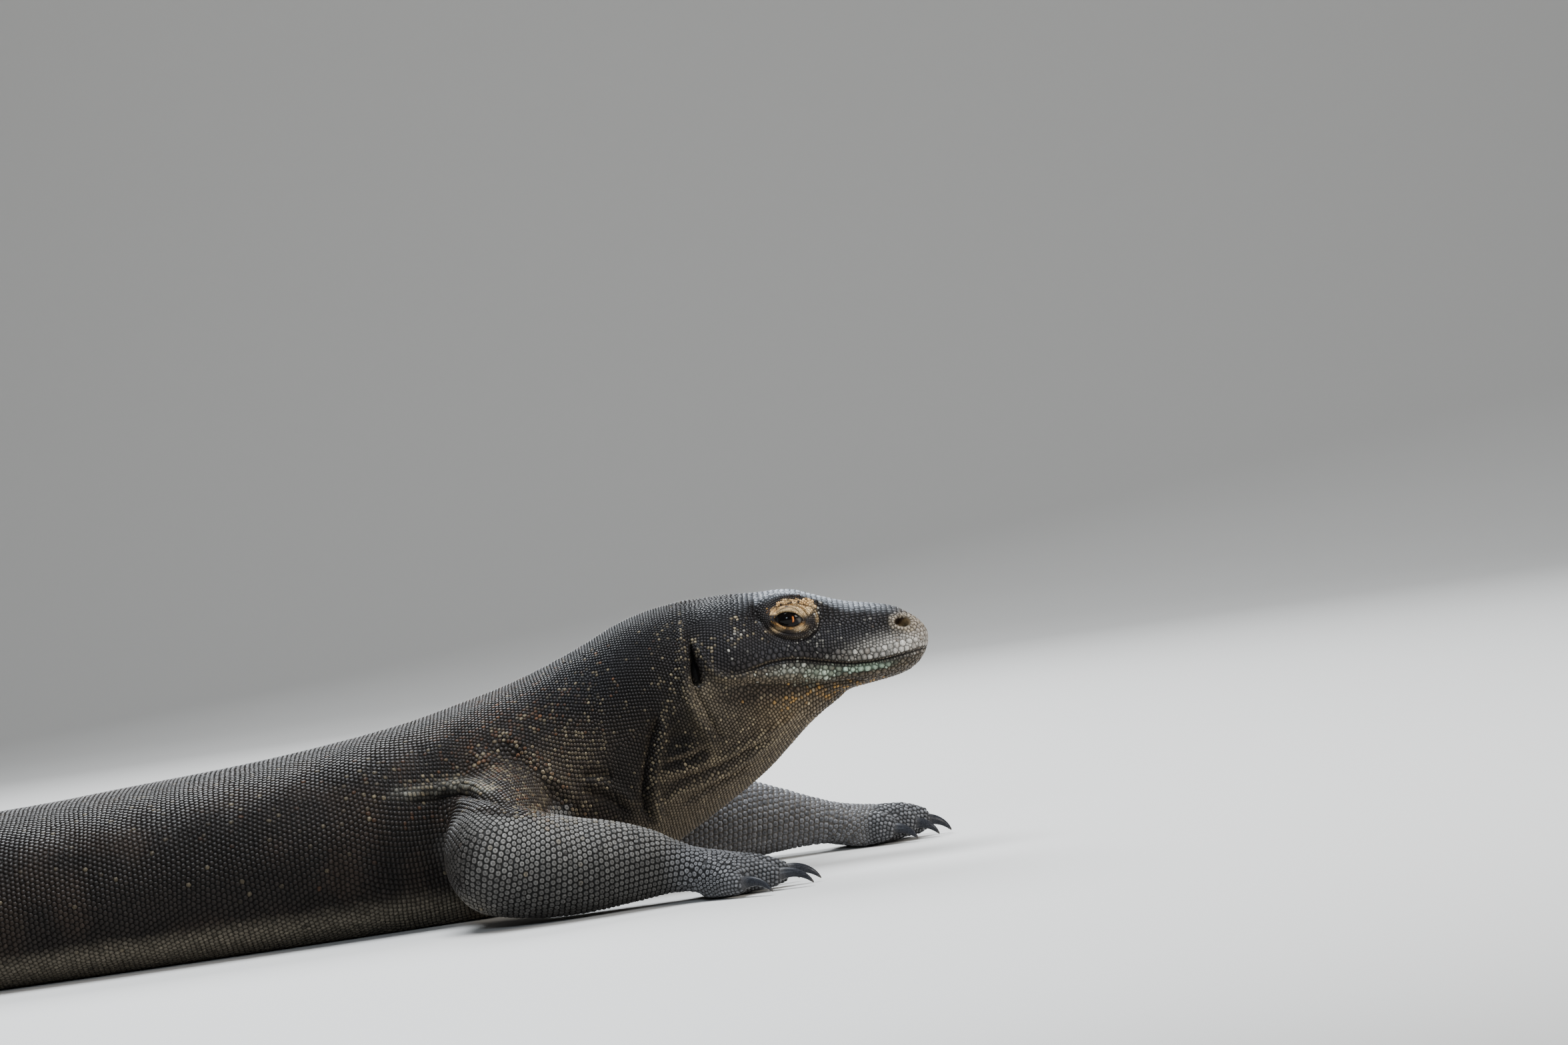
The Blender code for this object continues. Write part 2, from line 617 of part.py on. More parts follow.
# ---------------------------------------------------------------- the animal's frame
def shown():
    return [o for o in bpy.context.scene.objects if o.type == "MESH" and not o.hide_render]


def stand_on_origin():
    """Hangs every piece and helper on one empty, and moves it so that the footprint's middle is the origin."""
    bpy.context.view_layer.update()
    corners = [o.matrix_world @ Vector(c) for o in shown() for c in o.bound_box]
    low = Vector([min(c[k] for c in corners) for k in range(3)])
    high = Vector([max(c[k] for c in corners) for k in range(3)])
    frame = bpy.data.objects.new("animal", None)
    bpy.context.scene.collection.objects.link(frame)
    for o in list(bpy.data.objects):
        if o is not frame:
            o.parent = frame
    frame.location = (-(low.x + high.x) / 2, -(low.y + high.y) / 2, 0.0)


def main():
    for o in list(bpy.data.objects):
        bpy.data.objects.remove(o)
    skin = finish("skin", SKIN_DARK, 0.62)
    limb_skin = finish("limb_skin", SKIN_LIMB, 0.62)
    horn = finish("claw_horn", CLAW_HORN, 0.35)
    eye_finish = finish("eye", EYE_DARK, 0.08)
    head_room = build_head(skin, eye_finish)
    body_room = build_body(skin, head_room)
    build_legs(limb_skin, horn, body_room)
    stand_on_origin()


main()
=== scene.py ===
"""A life-size Komodo dragon: its hide, eyelids, eyes, scales and claws, on a plain pale floor.

Lengths are in metres. Shapes are first laid out round the near elbow, in the animal's own plan, with x
towards the snout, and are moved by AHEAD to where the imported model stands.
"""

import math

import bmesh
import bpy
import numpy as np
from mathutils import Matrix, Vector
from mathutils.bvhtree import BVHTree
from mathutils.kdtree import KDTree


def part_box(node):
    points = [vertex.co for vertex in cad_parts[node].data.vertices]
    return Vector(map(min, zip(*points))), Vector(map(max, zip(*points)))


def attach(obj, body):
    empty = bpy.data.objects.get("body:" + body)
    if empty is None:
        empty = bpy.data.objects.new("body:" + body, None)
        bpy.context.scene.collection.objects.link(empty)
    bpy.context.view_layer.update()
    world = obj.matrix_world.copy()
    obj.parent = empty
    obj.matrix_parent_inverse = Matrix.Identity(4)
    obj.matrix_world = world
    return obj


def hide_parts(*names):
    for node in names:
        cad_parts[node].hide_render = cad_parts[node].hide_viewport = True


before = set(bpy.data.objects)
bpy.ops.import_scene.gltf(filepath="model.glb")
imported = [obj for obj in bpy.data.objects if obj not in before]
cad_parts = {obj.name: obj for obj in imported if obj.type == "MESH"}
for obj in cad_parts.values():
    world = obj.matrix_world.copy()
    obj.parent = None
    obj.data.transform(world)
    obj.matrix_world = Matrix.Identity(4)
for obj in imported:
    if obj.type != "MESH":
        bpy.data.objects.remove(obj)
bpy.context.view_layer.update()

# ----------------------------------------------------------
# The hide: one closed skin over the whole animal, thin and dark between the scales. The head, the neck,
# trunk and tail, the legs and the digits are each a row of sections, joined into one surface, softened
# where they meet, and creased where the skin folds. It is coloured like the scales, only darker.
# ----------------------------------------------------------
# Where the eye stands: ahead of the near elbow, off the middle and above the floor.
EYE = (0.2704, 0.0283, 0.1880)
EYE_RADIUS, EYE_TALL = 0.0122, 0.80  # half its length, and its height as a share of that
EYE_OPENING = (0.0101, 0.0061)  # half its length and half its height
EYE_LEAN = 0.137  # how far the opening drops for each metre ahead
NOSTRIL = (0.3545, 0.1736)
NOSTRIL_HALF = (0.0060, 0.0037)
NOSTRIL_LEAN = 0.14
eye_low, eye_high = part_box("eye_right")
AHEAD = (eye_low[0] + eye_high[0]) / 2 - EYE[0]  # from the near elbow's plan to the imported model
FLOOR_CLEAR = 0.0009  # the hide's own height over the floor, where its scales rest on it

# Each slice: back (x, z), underside (x, z), half-width, height of its widest place as a share, and how
# square it is above and below that.
HEAD_SLICES = np.array([
    (0.3724, 0.1630, 0.3712, 0.1545, 0.0085, 0.50, 2.2, 2.2),
    (0.3704, 0.1680, 0.3678, 0.1480, 0.0155, 0.48, 2.3, 2.2),
    (0.3657, 0.1740, 0.3618, 0.1412, 0.0210, 0.45, 2.4, 2.2),
    (0.3586, 0.1798, 0.3540, 0.1369, 0.0243, 0.42, 2.5, 2.2),
    (0.3492, 0.1856, 0.3460, 0.1344, 0.0264, 0.38, 2.5, 2.3),
    (0.3345, 0.1898, 0.3320, 0.1323, 0.0280, 0.36, 2.5, 2.4),
    (0.3160, 0.1936, 0.3130, 0.1300, 0.0300, 0.38, 2.6, 2.4),
    (0.3000, 0.1988, 0.2950, 0.1278, 0.0326, 0.42, 2.8, 2.4),
    (0.2830, 0.2050, 0.2760, 0.1262, 0.0362, 0.45, 3.0, 2.4),
    (0.2650, 0.2090, 0.2570, 0.1262, 0.0402, 0.45, 3.0, 2.4),
    (0.2480, 0.2096, 0.2380, 0.1282, 0.0450, 0.46, 2.6, 2.4),
    (0.2320, 0.2108, 0.2220, 0.1318, 0.0488, 0.47, 2.4, 2.3),
    (0.2160, 0.2115, 0.2090, 0.1372, 0.0492, 0.48, 2.3, 2.2),
    (0.2020, 0.2095, 0.1980, 0.1450, 0.0455, 0.50, 2.2, 2.1),
    (0.1900, 0.2050, 0.1890, 0.1540, 0.0375, 0.52, 2.1, 2.0),
    (0.1810, 0.1980, 0.1815, 0.1640, 0.0240, 0.54, 2.0, 2.0),
])
BODY_SLICES = [
    (0.2450, 0.2020, 0.3050, 0.1262, 0.0220, 0.50, 2.0, 2.0),
    (0.2230, 0.2085, 0.2790, 0.1095, 0.0420, 0.50, 2.0, 1.9),
    (0.2015, 0.2112, 0.2435, 0.0800, 0.0530, 0.52, 2.0, 1.8),
    (0.1810, 0.2098, 0.2120, 0.0600, 0.0600, 0.52, 2.0, 1.8),
    (0.1603, 0.2062, 0.1870, 0.0455, 0.0650, 0.52, 2.0, 1.9),
    (0.1391, 0.1994, 0.1616, 0.0315, 0.0700, 0.50, 2.0, 2.0),
    (0.1160, 0.1890, 0.1340, 0.0180, 0.0765, 0.48, 2.0, 2.1),
    (0.0870, 0.1775, 0.1000, 0.0060, 0.0845, 0.46, 2.0, 2.3),
    (0.0530, 0.1665, 0.0600, -0.0030, 0.0920, 0.45, 2.1, 2.5),
    (0.0160, 0.1577, 0.0180, -0.0060, 0.0980, 0.45, 2.1, 2.6),
    (-0.0250, 0.1489, -0.0250, -0.0060, 0.1030, 0.44, 2.1, 2.7),
    (-0.0800, 0.1413, -0.0800, -0.0060, 0.1100, 0.43, 2.1, 2.8),
    (-0.1500, 0.1347, -0.1500, -0.0060, 0.1190, 0.42, 2.1, 2.8),
    (-0.2300, 0.1303, -0.2300, -0.0060, 0.1260, 0.42, 2.1, 2.8),
    (-0.3100, 0.1260, -0.3100, -0.0060, 0.1290, 0.42, 2.1, 2.8),
    (-0.4050, 0.1240, -0.4050, -0.0060, 0.1270, 0.42, 2.1, 2.8),
    (-0.4950, 0.1215, -0.4950, -0.0060, 0.1180, 0.43, 2.1, 2.7),
    (-0.5850, 0.1170, -0.5850, -0.0060, 0.0990, 0.44, 2.1, 2.6),
    (-0.6600, 0.1115, -0.6600, -0.0060, 0.0810, 0.45, 2.0, 2.5),
    (-0.7150, 0.1060, -0.7150, -0.0055, 0.0680, 0.46, 2.0, 2.4),
    (-0.7600, 0.1005, -0.7600, -0.0050, 0.0600, 0.47, 2.0, 2.4),
]
TAIL_BASE_X, TAIL_LENGTH, TAIL_TIP = -0.76, 1.22, 0.0035
BEND_START, SWAY, SWAY_LENGTH = -0.62, math.radians(27.0), 1.35
TAIL_ROWS = 17
_, base_height, _, base_under, base_half, *_ = BODY_SLICES[-1]
for step in range(1, TAIL_ROWS + 1):
    share = step / TAIL_ROWS
    taper = (1 - share) ** 0.92
    half_width = TAIL_TIP + (base_half - TAIL_TIP) * taper * (1 - 0.30 * math.sin(math.pi * share))
    height = 2 * TAIL_TIP + (base_height - 2 * TAIL_TIP) * taper * (1 - 0.12 * math.sin(math.pi * share))
    x = TAIL_BASE_X - TAIL_LENGTH * share
    BODY_SLICES.append((x, height, x, base_under * (1 - share), half_width, 0.47, 2.0, 2.4 - 0.4 * share))
BODY_SLICES = np.array(BODY_SLICES)
BODY_END = len(BODY_SLICES) - 1


def smooth(value, start, end):
    """0 before start, 1 after end, and an S-curve between."""
    t = np.clip((value - start) / (end - start), 0, 1)
    return t * t * (3 - 2 * t)


def at_rows(rows, places):
    """Rows of a table at fractional places, on the smooth (Catmull-Rom) curve through its rows."""
    places = np.asarray(places, float)
    last = len(rows) - 1
    i = np.clip(np.floor(places).astype(int), 0, last - 1)
    u = (places - i)[:, None]
    a, b, c, d = rows[np.maximum(i - 1, 0)], rows[i], rows[i + 1], rows[np.minimum(i + 2, last)]
    p, q = (c - a) / 2, (d - b) / 2
    start = (2 * u**3 - 3 * u**2 + 1) * b + (u**3 - 2 * u**2 + u) * p
    return start + (3 * u**2 - 2 * u**3) * c + (u**3 - u**2) * q


def slice_points(rows, turn):
    """Points round each slice at these angles from the back: a superellipse whose halves differ.

    Returns (slices, angles, 3). The slice's plane holds the line from its underside to its back.
    """
    back, under = rows[:, 0:2], rows[:, 2:4]
    height = np.linalg.norm(back - under, axis=1)[:, None]
    up = (back - under) / height
    half_width, widest, above, below = (rows[:, k : k + 1] for k in range(4, 8))
    middle = under + up * height * widest
    side, lift = np.sin(turn)[None], np.cos(turn)[None]
    power = np.where(lift > 0, above, below)
    reach = np.where(lift > 0, height * (1 - widest), height * widest)
    across = half_width * np.sign(side) * np.abs(side) ** (2 / power)
    along = reach * np.sign(lift) * np.abs(lift) ** (2 / power)
    x = middle[:, 0:1] + along * up[:, 0:1]
    z = middle[:, 1:2] + along * up[:, 1:2]
    return np.stack([x, across, z], -1)


def plan_path():
    """The plan of the tail: x along a straight back, and where it lies and heads once the tail sways.

    The heading is SWAY times the sine of the way gone, let in over the first quarter of a metre.
    """
    x = np.linspace(BEND_START, TAIL_BASE_X - TAIL_LENGTH - 0.05, 800)
    behind = BEND_START - x
    heading = SWAY * np.clip(behind / 0.25, 0, 1) * np.sin(2 * math.pi * behind / SWAY_LENGTH)
    step = np.gradient(behind)
    path_x = BEND_START - np.cumsum(np.cos(heading) * step)
    path_y = np.cumsum(np.sin(heading) * step)
    return x[::-1], path_x[::-1], path_y[::-1], heading[::-1]


PLAN = plan_path()


def swayed(points):
    """Points of a straight animal, moved to where the tail's sway carries them."""
    x, path_x, path_y, heading = PLAN
    at = points[..., 0]
    h = np.interp(at, x, heading)
    behind = at < BEND_START
    moved = points.copy()
    moved[..., 0] = np.where(behind, np.interp(at, x, path_x) + points[..., 1] * np.sin(h), at)
    moved[..., 1] = np.where(behind, np.interp(at, x, path_y) + points[..., 1] * np.cos(h), points[..., 1])
    return moved


def unit(vectors):
    """Each row at length 1."""
    return vectors / np.linalg.norm(vectors, axis=1)[:, None]


def tube_frames(path, count):
    """A leg's path of (x, y, z, half-width, half-height), refined to count rows, with its frames.

    Returns places, directions, level axes, upright axes and half sizes.
    """
    path = np.array(path, float)
    fine = at_rows(path, np.linspace(0, len(path) - 1, count))
    places = fine[:, :3]
    along = unit(np.gradient(places, axis=0))
    level = unit(np.cross((0, 0, 1), along))
    return places, along, level, np.cross(along, level), fine[:, 3:5]


def tube_points(path, count, sides, round_start=True, blunt=1.0):
    """A tube of ellipses square to a path, with a dome at its end and, where asked, its start.

    A dome's rings shrink by the cosine of their angle and stand out by its sine. (rings, sides, 3).
    """
    places, along, level, upright, half = tube_frames(path, count)
    turn = np.arange(sides) * 2 * math.pi / sides
    rings = [
        p + np.outer(np.sin(turn) * h[0], a) + np.outer(np.cos(turn) * h[1], b)
        for p, a, b, h in zip(places, level, upright, half)
    ]
    angles = np.radians([15, 30, 45, 60, 75, 87])
    for end, way, wanted in ((0, -1, round_start), (-1, 1, True)):
        if not wanted:
            continue
        reach = half[end].mean() * (blunt if end else 1.0)
        centre, ring = places[end], rings[end]
        out = way * along[end] * reach
        dome = [centre + out * math.sin(t) + (ring - centre) * math.cos(t) for t in angles]
        rings = rings + dome if end else dome[::-1] + rings
    return np.array(rings)


# The legs' paths, as (x, y, z, half-width, half-height) from the shoulder or hip down.
LEGS = {
    "right_upper_arm": [
        (0.0450, -0.0500, 0.0850, 0.036, 0.040),
        (0.0420, -0.0850, 0.0740, 0.037, 0.040),
        (0.0380, -0.1200, 0.0620, 0.037, 0.040),
        (0.0350, -0.1480, 0.0520, 0.037, 0.040),
    ],
    "right_forearm": [
        (0.0350, -0.1480, 0.0520, 0.034, 0.038),
        (0.0360, -0.1600, 0.0500, 0.036, 0.0410),
        (0.0620, -0.1620, 0.0430, 0.036, 0.0385),
        (0.0900, -0.1610, 0.0380, 0.033, 0.0350),
        (0.1200, -0.1580, 0.0350, 0.028, 0.0305),
        (0.1450, -0.1550, 0.0310, 0.0235, 0.0250),
        (0.1640, -0.1530, 0.0265, 0.0220, 0.0190),
    ],
    "left_upper_arm": [
        (0.0400, 0.0500, 0.0850, 0.036, 0.042),
        (0.0600, 0.0720, 0.0740, 0.038, 0.042),
        (0.0900, 0.0960, 0.0600, 0.037, 0.040),
        (0.1200, 0.1160, 0.0470, 0.036, 0.038),
    ],
    "left_forearm": [
        (0.1200, 0.1160, 0.0470, 0.034, 0.036),
        (0.1330, 0.1210, 0.0430, 0.035, 0.038),
        (0.1650, 0.1220, 0.0400, 0.034, 0.0370),
        (0.2050, 0.1230, 0.0350, 0.030, 0.0325),
        (0.2400, 0.1240, 0.0295, 0.024, 0.0245),
        (0.2670, 0.1250, 0.0250, 0.022, 0.0190),
    ],
}
THIGH = [
    (-0.6550, 0.0350, 0.0620, 0.046, 0.046),
    (-0.6350, 0.0800, 0.0600, 0.050, 0.047),
    (-0.6000, 0.1350, 0.0560, 0.046, 0.044),
    (-0.5650, 0.1850, 0.0520, 0.039, 0.040),
]
SHANK = [
    (-0.5650, 0.1850, 0.0520, 0.036, 0.038),
    (-0.5550, 0.1980, 0.0480, 0.036, 0.039),
    (-0.5800, 0.2180, 0.0450, 0.034, 0.036),
    (-0.6150, 0.2400, 0.0390, 0.027, 0.028),
    (-0.6450, 0.2560, 0.0320, 0.0215, 0.0220),
    (-0.6580, 0.2640, 0.0280, 0.0210, 0.0195),
]
for side, way in (("left", 1), ("right", -1)):
    LEGS[side + "_thigh"] = [(x, y * way, z, w, h) for x, y, z, w, h in THIGH]
    LEGS[side + "_shank"] = [(x, y * way, z, w, h) for x, y, z, w, h in SHANK]

# How a digit's width and height run: share of its length, half-width, height as a share of its knuckle's.
LYING = (
    (0.0, 0.0080, 1.05), (0.30, 0.0074, 0.98), (0.5, 0.0079, 0.92), (0.75, 0.0070, 0.76),
    (1.0, 0.0063, 0.54),
)
CURLED = (
    (0.0, 0.0080, 1.05), (0.30, 0.0076, 1.02), (0.55, 0.0082, 0.98), (0.8, 0.0076, 0.86),
    (1.0, 0.0067, 0.66),
)
# Each digit: its length, heading off the foot's own, seat across the palm from -1 to 1 and along it, and
# its knuckle's height.
NEAR_DIGITS = (
    (0.034, 38.0, 0.85, 0.60, 0.024),
    (0.044, 18.0, 0.48, 0.85, 0.029),
    (0.050, 1.0, 0.06, 0.95, 0.030),
    (0.046, -15.0, -0.38, 0.88, 0.028),
    (0.036, -40.0, -0.80, 0.55, 0.023),
)
FAR_DIGITS = (
    (0.034, 25.0, 0.78, 0.80, 0.027),
    (0.045, 11.0, 0.44, 0.95, 0.030),
    (0.055, 0.0, 0.04, 1.00, 0.030),
    (0.050, -14.0, -0.38, 0.90, 0.028),
    (0.036, -40.0, -0.80, 0.55, 0.023),
)
HIND_DIGITS = (
    (0.034, 26.0, 0.84, 0.74, 0.017),
    (0.050, 16.0, 0.52, 0.90, 0.020),
    (0.064, 0.0, 0.08, 0.98, 0.022),
    (0.074, -15.0, -0.36, 0.86, 0.022),
    (0.046, -48.0, -0.80, 0.62, 0.018),
)
# Claws: their length, and how far they bend in degrees.
LONG_CLAW, CURLED_CLAW = (0.028, 70.0), (0.023, 62.0)
# Each foot: its leg, heading in degrees, palm's length and half sizes, digits, how they lie, its claws, and
# which way its inner side is.
FEET = {
    "hand_right": ("right_forearm", 6.0, 0.038, (0.0300, 0.0160), NEAR_DIGITS, LYING, LONG_CLAW, 1),
    "hand_left": ("left_forearm", 8.0, 0.038, (0.0300, 0.0160), FAR_DIGITS, CURLED, CURLED_CLAW, -1),
    "foot_left": ("left_shank", 45.0, 0.058, (0.0300, 0.0145), HIND_DIGITS, LYING, LONG_CLAW, -1),
    "foot_right": ("right_shank", -45.0, 0.058, (0.0300, 0.0145), HIND_DIGITS, LYING, LONG_CLAW, 1),
}
DIGIT_LIFT = 0.0022  # how far a digit's end stands off the floor
DIGIT_ROOT = 0.006  # how far back into the palm a digit starts


def palm_path(ankle, out, length, half):
    """A palm's path: it widens by a sine from the ankle's width, and sinks evenly to the floor."""
    path = []
    for share in (0.0, 0.35, 0.7, 1.0):
        spread = ankle[3] * 0.8 + (half[0] - ankle[3] * 0.8) * math.sin(share * math.pi / 2)
        thick = ankle[4] * 0.8 + (half[1] - ankle[4] * 0.8) * share
        place = np.array(ankle[:2]) + out * length * share
        path.append((*place, ankle[2] + (half[1] * 0.95 - ankle[2]) * share, spread, thick))
    return path


DIGITS = {}  # name of the claw: (path, heading, claw)
PALMS = {}
for foot, (leg, degrees, palm_length, palm_half, digits, digit_rows, claw, inward) in FEET.items():
    ankle = LEGS[leg][-1]
    heading = math.radians(degrees)
    out = np.array((math.cos(heading), math.sin(heading)))
    across = np.array((-out[1], out[0])) * inward
    PALMS[foot] = palm_path(ankle, out, palm_length, palm_half)
    for number, (length, angle, seat, forward, knuckle) in enumerate(digits, 1):
        turn = heading + math.radians(angle) * inward
        line = np.array((math.cos(turn), math.sin(turn)))
        start = np.array(ankle[:2]) + out * palm_length * forward + across * palm_half[0] * 0.78 * seat
        start = start - line * DIGIT_ROOT
        path = []
        for share, half_width, top in digit_rows:
            half_height = top * knuckle / 2
            height = half_height + DIGIT_LIFT * share
            path.append((*(start + line * length * share), height, half_width, half_height))
        DIGITS[f"{foot}_claw_{number}"] = (path, turn, claw)


def grid_faces(rows, columns):
    """The quads of a grid of points, rows long, each row closed round into a ring."""
    r, c = np.meshgrid(np.arange(rows - 1), np.arange(columns), indexing="ij")
    d = (c + 1) % columns
    quads = np.stack([r * columns + c, r * columns + d, (r + 1) * columns + d, (r + 1) * columns + c], -1)
    return quads.reshape(-1, 4)


def capped(grid, ends=None):
    """A grid of rings as a closed shell: its points, the quads between rings, a fan over each end."""
    rows, sides = grid.shape[:2]
    ends = [grid[0].mean(0), grid[-1].mean(0)] if ends is None else ends
    points = np.concatenate([grid.reshape(-1, 3), ends])
    k = np.arange(sides)
    j = (k + 1) % sides
    first, last = np.full(sides, rows * sides), (rows - 1) * sides
    fans = np.concatenate([np.stack([first, j, k], 1), np.stack([first + 1, last + k, last + j], 1)])
    return points, grid_faces(rows, sides), fans


def arrays_of(mesh, corners):
    """A mesh's points, and its faces of this many corners, as arrays."""
    points = np.empty(len(mesh.vertices) * 3, np.float32)
    mesh.vertices.foreach_get("co", points)
    faces = np.empty(len(mesh.loops), np.int32)
    mesh.loops.foreach_get("vertex_index", faces)
    return points.reshape(-1, 3).astype(float), faces.reshape(-1, corners)


def modified(mesh, kind, **settings):
    """A copy of a mesh with one modifier applied."""
    made = bpy.data.objects.new("shells", mesh)
    bpy.context.scene.collection.objects.link(made)
    step = made.modifiers.new("Step", kind)
    for name, value in settings.items():
        setattr(step, name, value)
    whole = bpy.data.meshes.new_from_object(made.evaluated_get(bpy.context.evaluated_depsgraph_get()))
    bpy.data.objects.remove(made)
    return whole


def shells():
    """Every closed shell that the form is joined from, as grids of rings."""
    turn = np.arange(128) * 2 * math.pi / 128
    yield slice_points(at_rows(HEAD_SLICES, np.linspace(0, len(HEAD_SLICES) - 1, 150)), turn)
    yield swayed(slice_points(at_rows(BODY_SLICES, np.linspace(0, BODY_END, 700)), turn))
    for path in LEGS.values():
        yield tube_points(path, 50, 40)
    for path in PALMS.values():
        yield tube_points(path, 24, 36, round_start=False)
    for path, _, _ in DIGITS.values():
        yield tube_points(path, 30, 24, round_start=False, blunt=0.45)


def joined_form(voxel):
    """All shells as one closed surface, by way of cubes of this size. Returns points and quads."""
    points, faces, base = [], [], 0
    for grid in shells():
        shell, quads, fans = capped(grid)
        points.append(shell)
        faces += (quads + base).tolist() + (fans + base).tolist()
        base += len(shell)
    points = np.concatenate(points)
    points[:, 2] = np.maximum(points[:, 2], FLOOR_CLEAR)
    mesh = bpy.data.meshes.new("shells")
    mesh.from_pydata(points, [], faces)
    whole = modified(mesh, "REMESH", mode="VOXEL", voxel_size=voxel)
    joined = arrays_of(whole, 4)
    bpy.data.meshes.remove(whole)
    bpy.data.meshes.remove(mesh)
    return joined


def edges_of(faces):
    """Each edge of a mesh once, as pairs of point numbers."""
    corners = faces.shape[1]
    ends = np.concatenate([np.stack([faces[:, k], faces[:, (k + 1) % corners]], 1) for k in range(corners)])
    ends.sort(axis=1)
    return np.unique(ends, axis=0)


def relax(points, edges, rounds, strength):
    """Moves each point towards the middle of its neighbours, rounds times, by its own strength."""
    count = len(points)
    a, b = edges[:, 0], edges[:, 1]
    degree = (np.bincount(a, minlength=count) + np.bincount(b, minlength=count))[:, None]
    for _ in range(rounds):
        sums = [np.bincount(a, points[b, k], count) + np.bincount(b, points[a, k], count) for k in range(3)]
        points = points + (np.stack(sums, 1) / degree - points) * strength[:, None]
    return points


def normals_of(points, faces):
    """Unit normals at the points, from the areas of the faces round them."""
    a, b = points[faces[:, 2]] - points[faces[:, 0]], points[faces[:, -1]] - points[faces[:, 1]]
    face = np.cross(a, b)
    total = np.zeros_like(points)
    for column in range(faces.shape[1]):
        for k in range(3):
            total[:, k] += np.bincount(faces[:, column], face[:, k], len(points))
    return total / np.maximum(np.linalg.norm(total, axis=1), 1e-12)[:, None]


form, quads = joined_form(0.0026)
edges = edges_of(quads)
# Limbs flow into the trunk, and digits into the foot: these balls (centre, radius) are softened most.
SOFT_PLACES = (
    (0.045, -0.085, 0.075, 0.085),
    (0.060, 0.080, 0.075, 0.085),
    (0.035, -0.150, 0.050, 0.060),
    (0.130, 0.118, 0.045, 0.055),
    *((-0.635, y, 0.060, 0.100) for y in (-0.090, 0.090)),
    *((-0.560, y, 0.050, 0.060) for y in (-0.195, 0.195)),
    *((-0.655, y, 0.030, 0.035) for y in (-0.262, 0.262)),
    (0.165, -0.153, 0.027, 0.030),
    (0.268, 0.125, 0.027, 0.030),
    (0.195, 0.0, 0.150, 0.075),
    (0.240, 0.0, 0.130, 0.060),
)
softness = np.zeros(len(form))
for *centre, radius in SOFT_PLACES:
    distance = np.linalg.norm(form - centre, axis=1)
    softness = np.maximum(softness, smooth(-distance, -radius, -radius * 0.55))
form = relax(form, edges, 6, np.full(len(form), 0.5))
form = relax(form, edges, 36, softness * 0.5)
form[:, 2] = np.maximum(form[:, 2], FLOOR_CLEAR)


def refined(points, faces, choose):
    """Splits the faces whose middles choose() picks into four, and makes every face a triangle."""
    mesh = bpy.data.meshes.new("refined")
    mesh.from_pydata(points.tolist(), [], faces.tolist())
    chosen = choose(points[faces].mean(1))
    bm = bmesh.new()
    bm.from_mesh(mesh)
    bm.faces.ensure_lookup_table()
    cut = {edge for k in np.flatnonzero(chosen) for edge in bm.faces[k].edges}
    bmesh.ops.subdivide_edges(bm, edges=list(cut), cuts=1, use_grid_fill=True)
    bmesh.ops.triangulate(bm, faces=bm.faces[:])
    bm.to_mesh(mesh)
    bm.free()
    split = arrays_of(mesh, 3)
    bpy.data.meshes.remove(mesh)
    return split


def gone_after(steps):
    """How far one has gone after each step, from 0."""
    return np.concatenate([[0], np.cumsum(steps)])


def off_line(points, line):
    """How far points are from a line of (x, z) seen from the side, and how far along it from 0 to 1."""
    p = points[:, [0, 2]]
    line = np.asarray(line, float)
    lengths = np.linalg.norm(np.diff(line, axis=0), axis=1)
    gone = gone_after(lengths)
    best, share = np.full(len(p), 1e9), np.zeros(len(p))
    for k, (a, b) in enumerate(zip(line, line[1:])):
        t = np.clip((p - a) @ (b - a) / lengths[k] ** 2, 0, 1)
        d = np.linalg.norm(p - a - t[:, None] * (b - a), axis=1)
        near = d < best
        best[near] = d[near]
        share[near] = (gone[k] + t[near] * lengths[k]) / gone[-1]
    return best, share


# Lines seen from the side, as (x, z). The first ones are the animal's own; the rest are folds of this pose.
MOUTH_LINE = (
    (0.3900, 0.1535), (0.3660, 0.1512), (0.3520, 0.1496), (0.3384, 0.1481), (0.3258, 0.1474),
    (0.3134, 0.1480), (0.3012, 0.1505), (0.2891, 0.1536), (0.2771, 0.1568), (0.2648, 0.1584),
    (0.2523, 0.1580), (0.2432, 0.1562), (0.2317, 0.1540), (0.2240, 0.1532),
)
LIP_CREASE = (
    (0.2235, 0.1455), (0.2332, 0.1448), (0.2452, 0.1430), (0.2576, 0.1410), (0.2696, 0.1386),
    (0.2820, 0.1366), (0.2965, 0.1345), (0.3116, 0.1345), (0.3230, 0.1352),
)
LIP_BAND = (
    (0.2300, 0.1500), (0.2509, 0.1495), (0.2634, 0.1485), (0.2756, 0.1465), (0.2876, 0.1432),
    (0.2983, 0.1410), (0.3106, 0.1408), (0.3379, 0.1415), (0.3520, 0.1432),
)
ORBIT_CREASE = (
    (0.2449, 0.2045), (0.2466, 0.1987), (0.2488, 0.1925), (0.2530, 0.1850), (0.2598, 0.1778),
    (0.2669, 0.1737), (0.2742, 0.1718), (0.2829, 0.1722), (0.2905, 0.1768), (0.2938, 0.1847),
    (0.2930, 0.1925), (0.2945, 0.1965),
)
LID_CREASE = (
    (0.2546, 0.1905), (0.2570, 0.1855), (0.2608, 0.1815), (0.2665, 0.1782), (0.2735, 0.1768),
    (0.2805, 0.1775), (0.2862, 0.1808),
)
BROW_EDGE = (
    (0.2480, 0.2062), (0.2560, 0.2068), (0.2640, 0.2062), (0.2760, 0.2040), (0.2880, 0.2010),
    (0.2985, 0.1965),
)
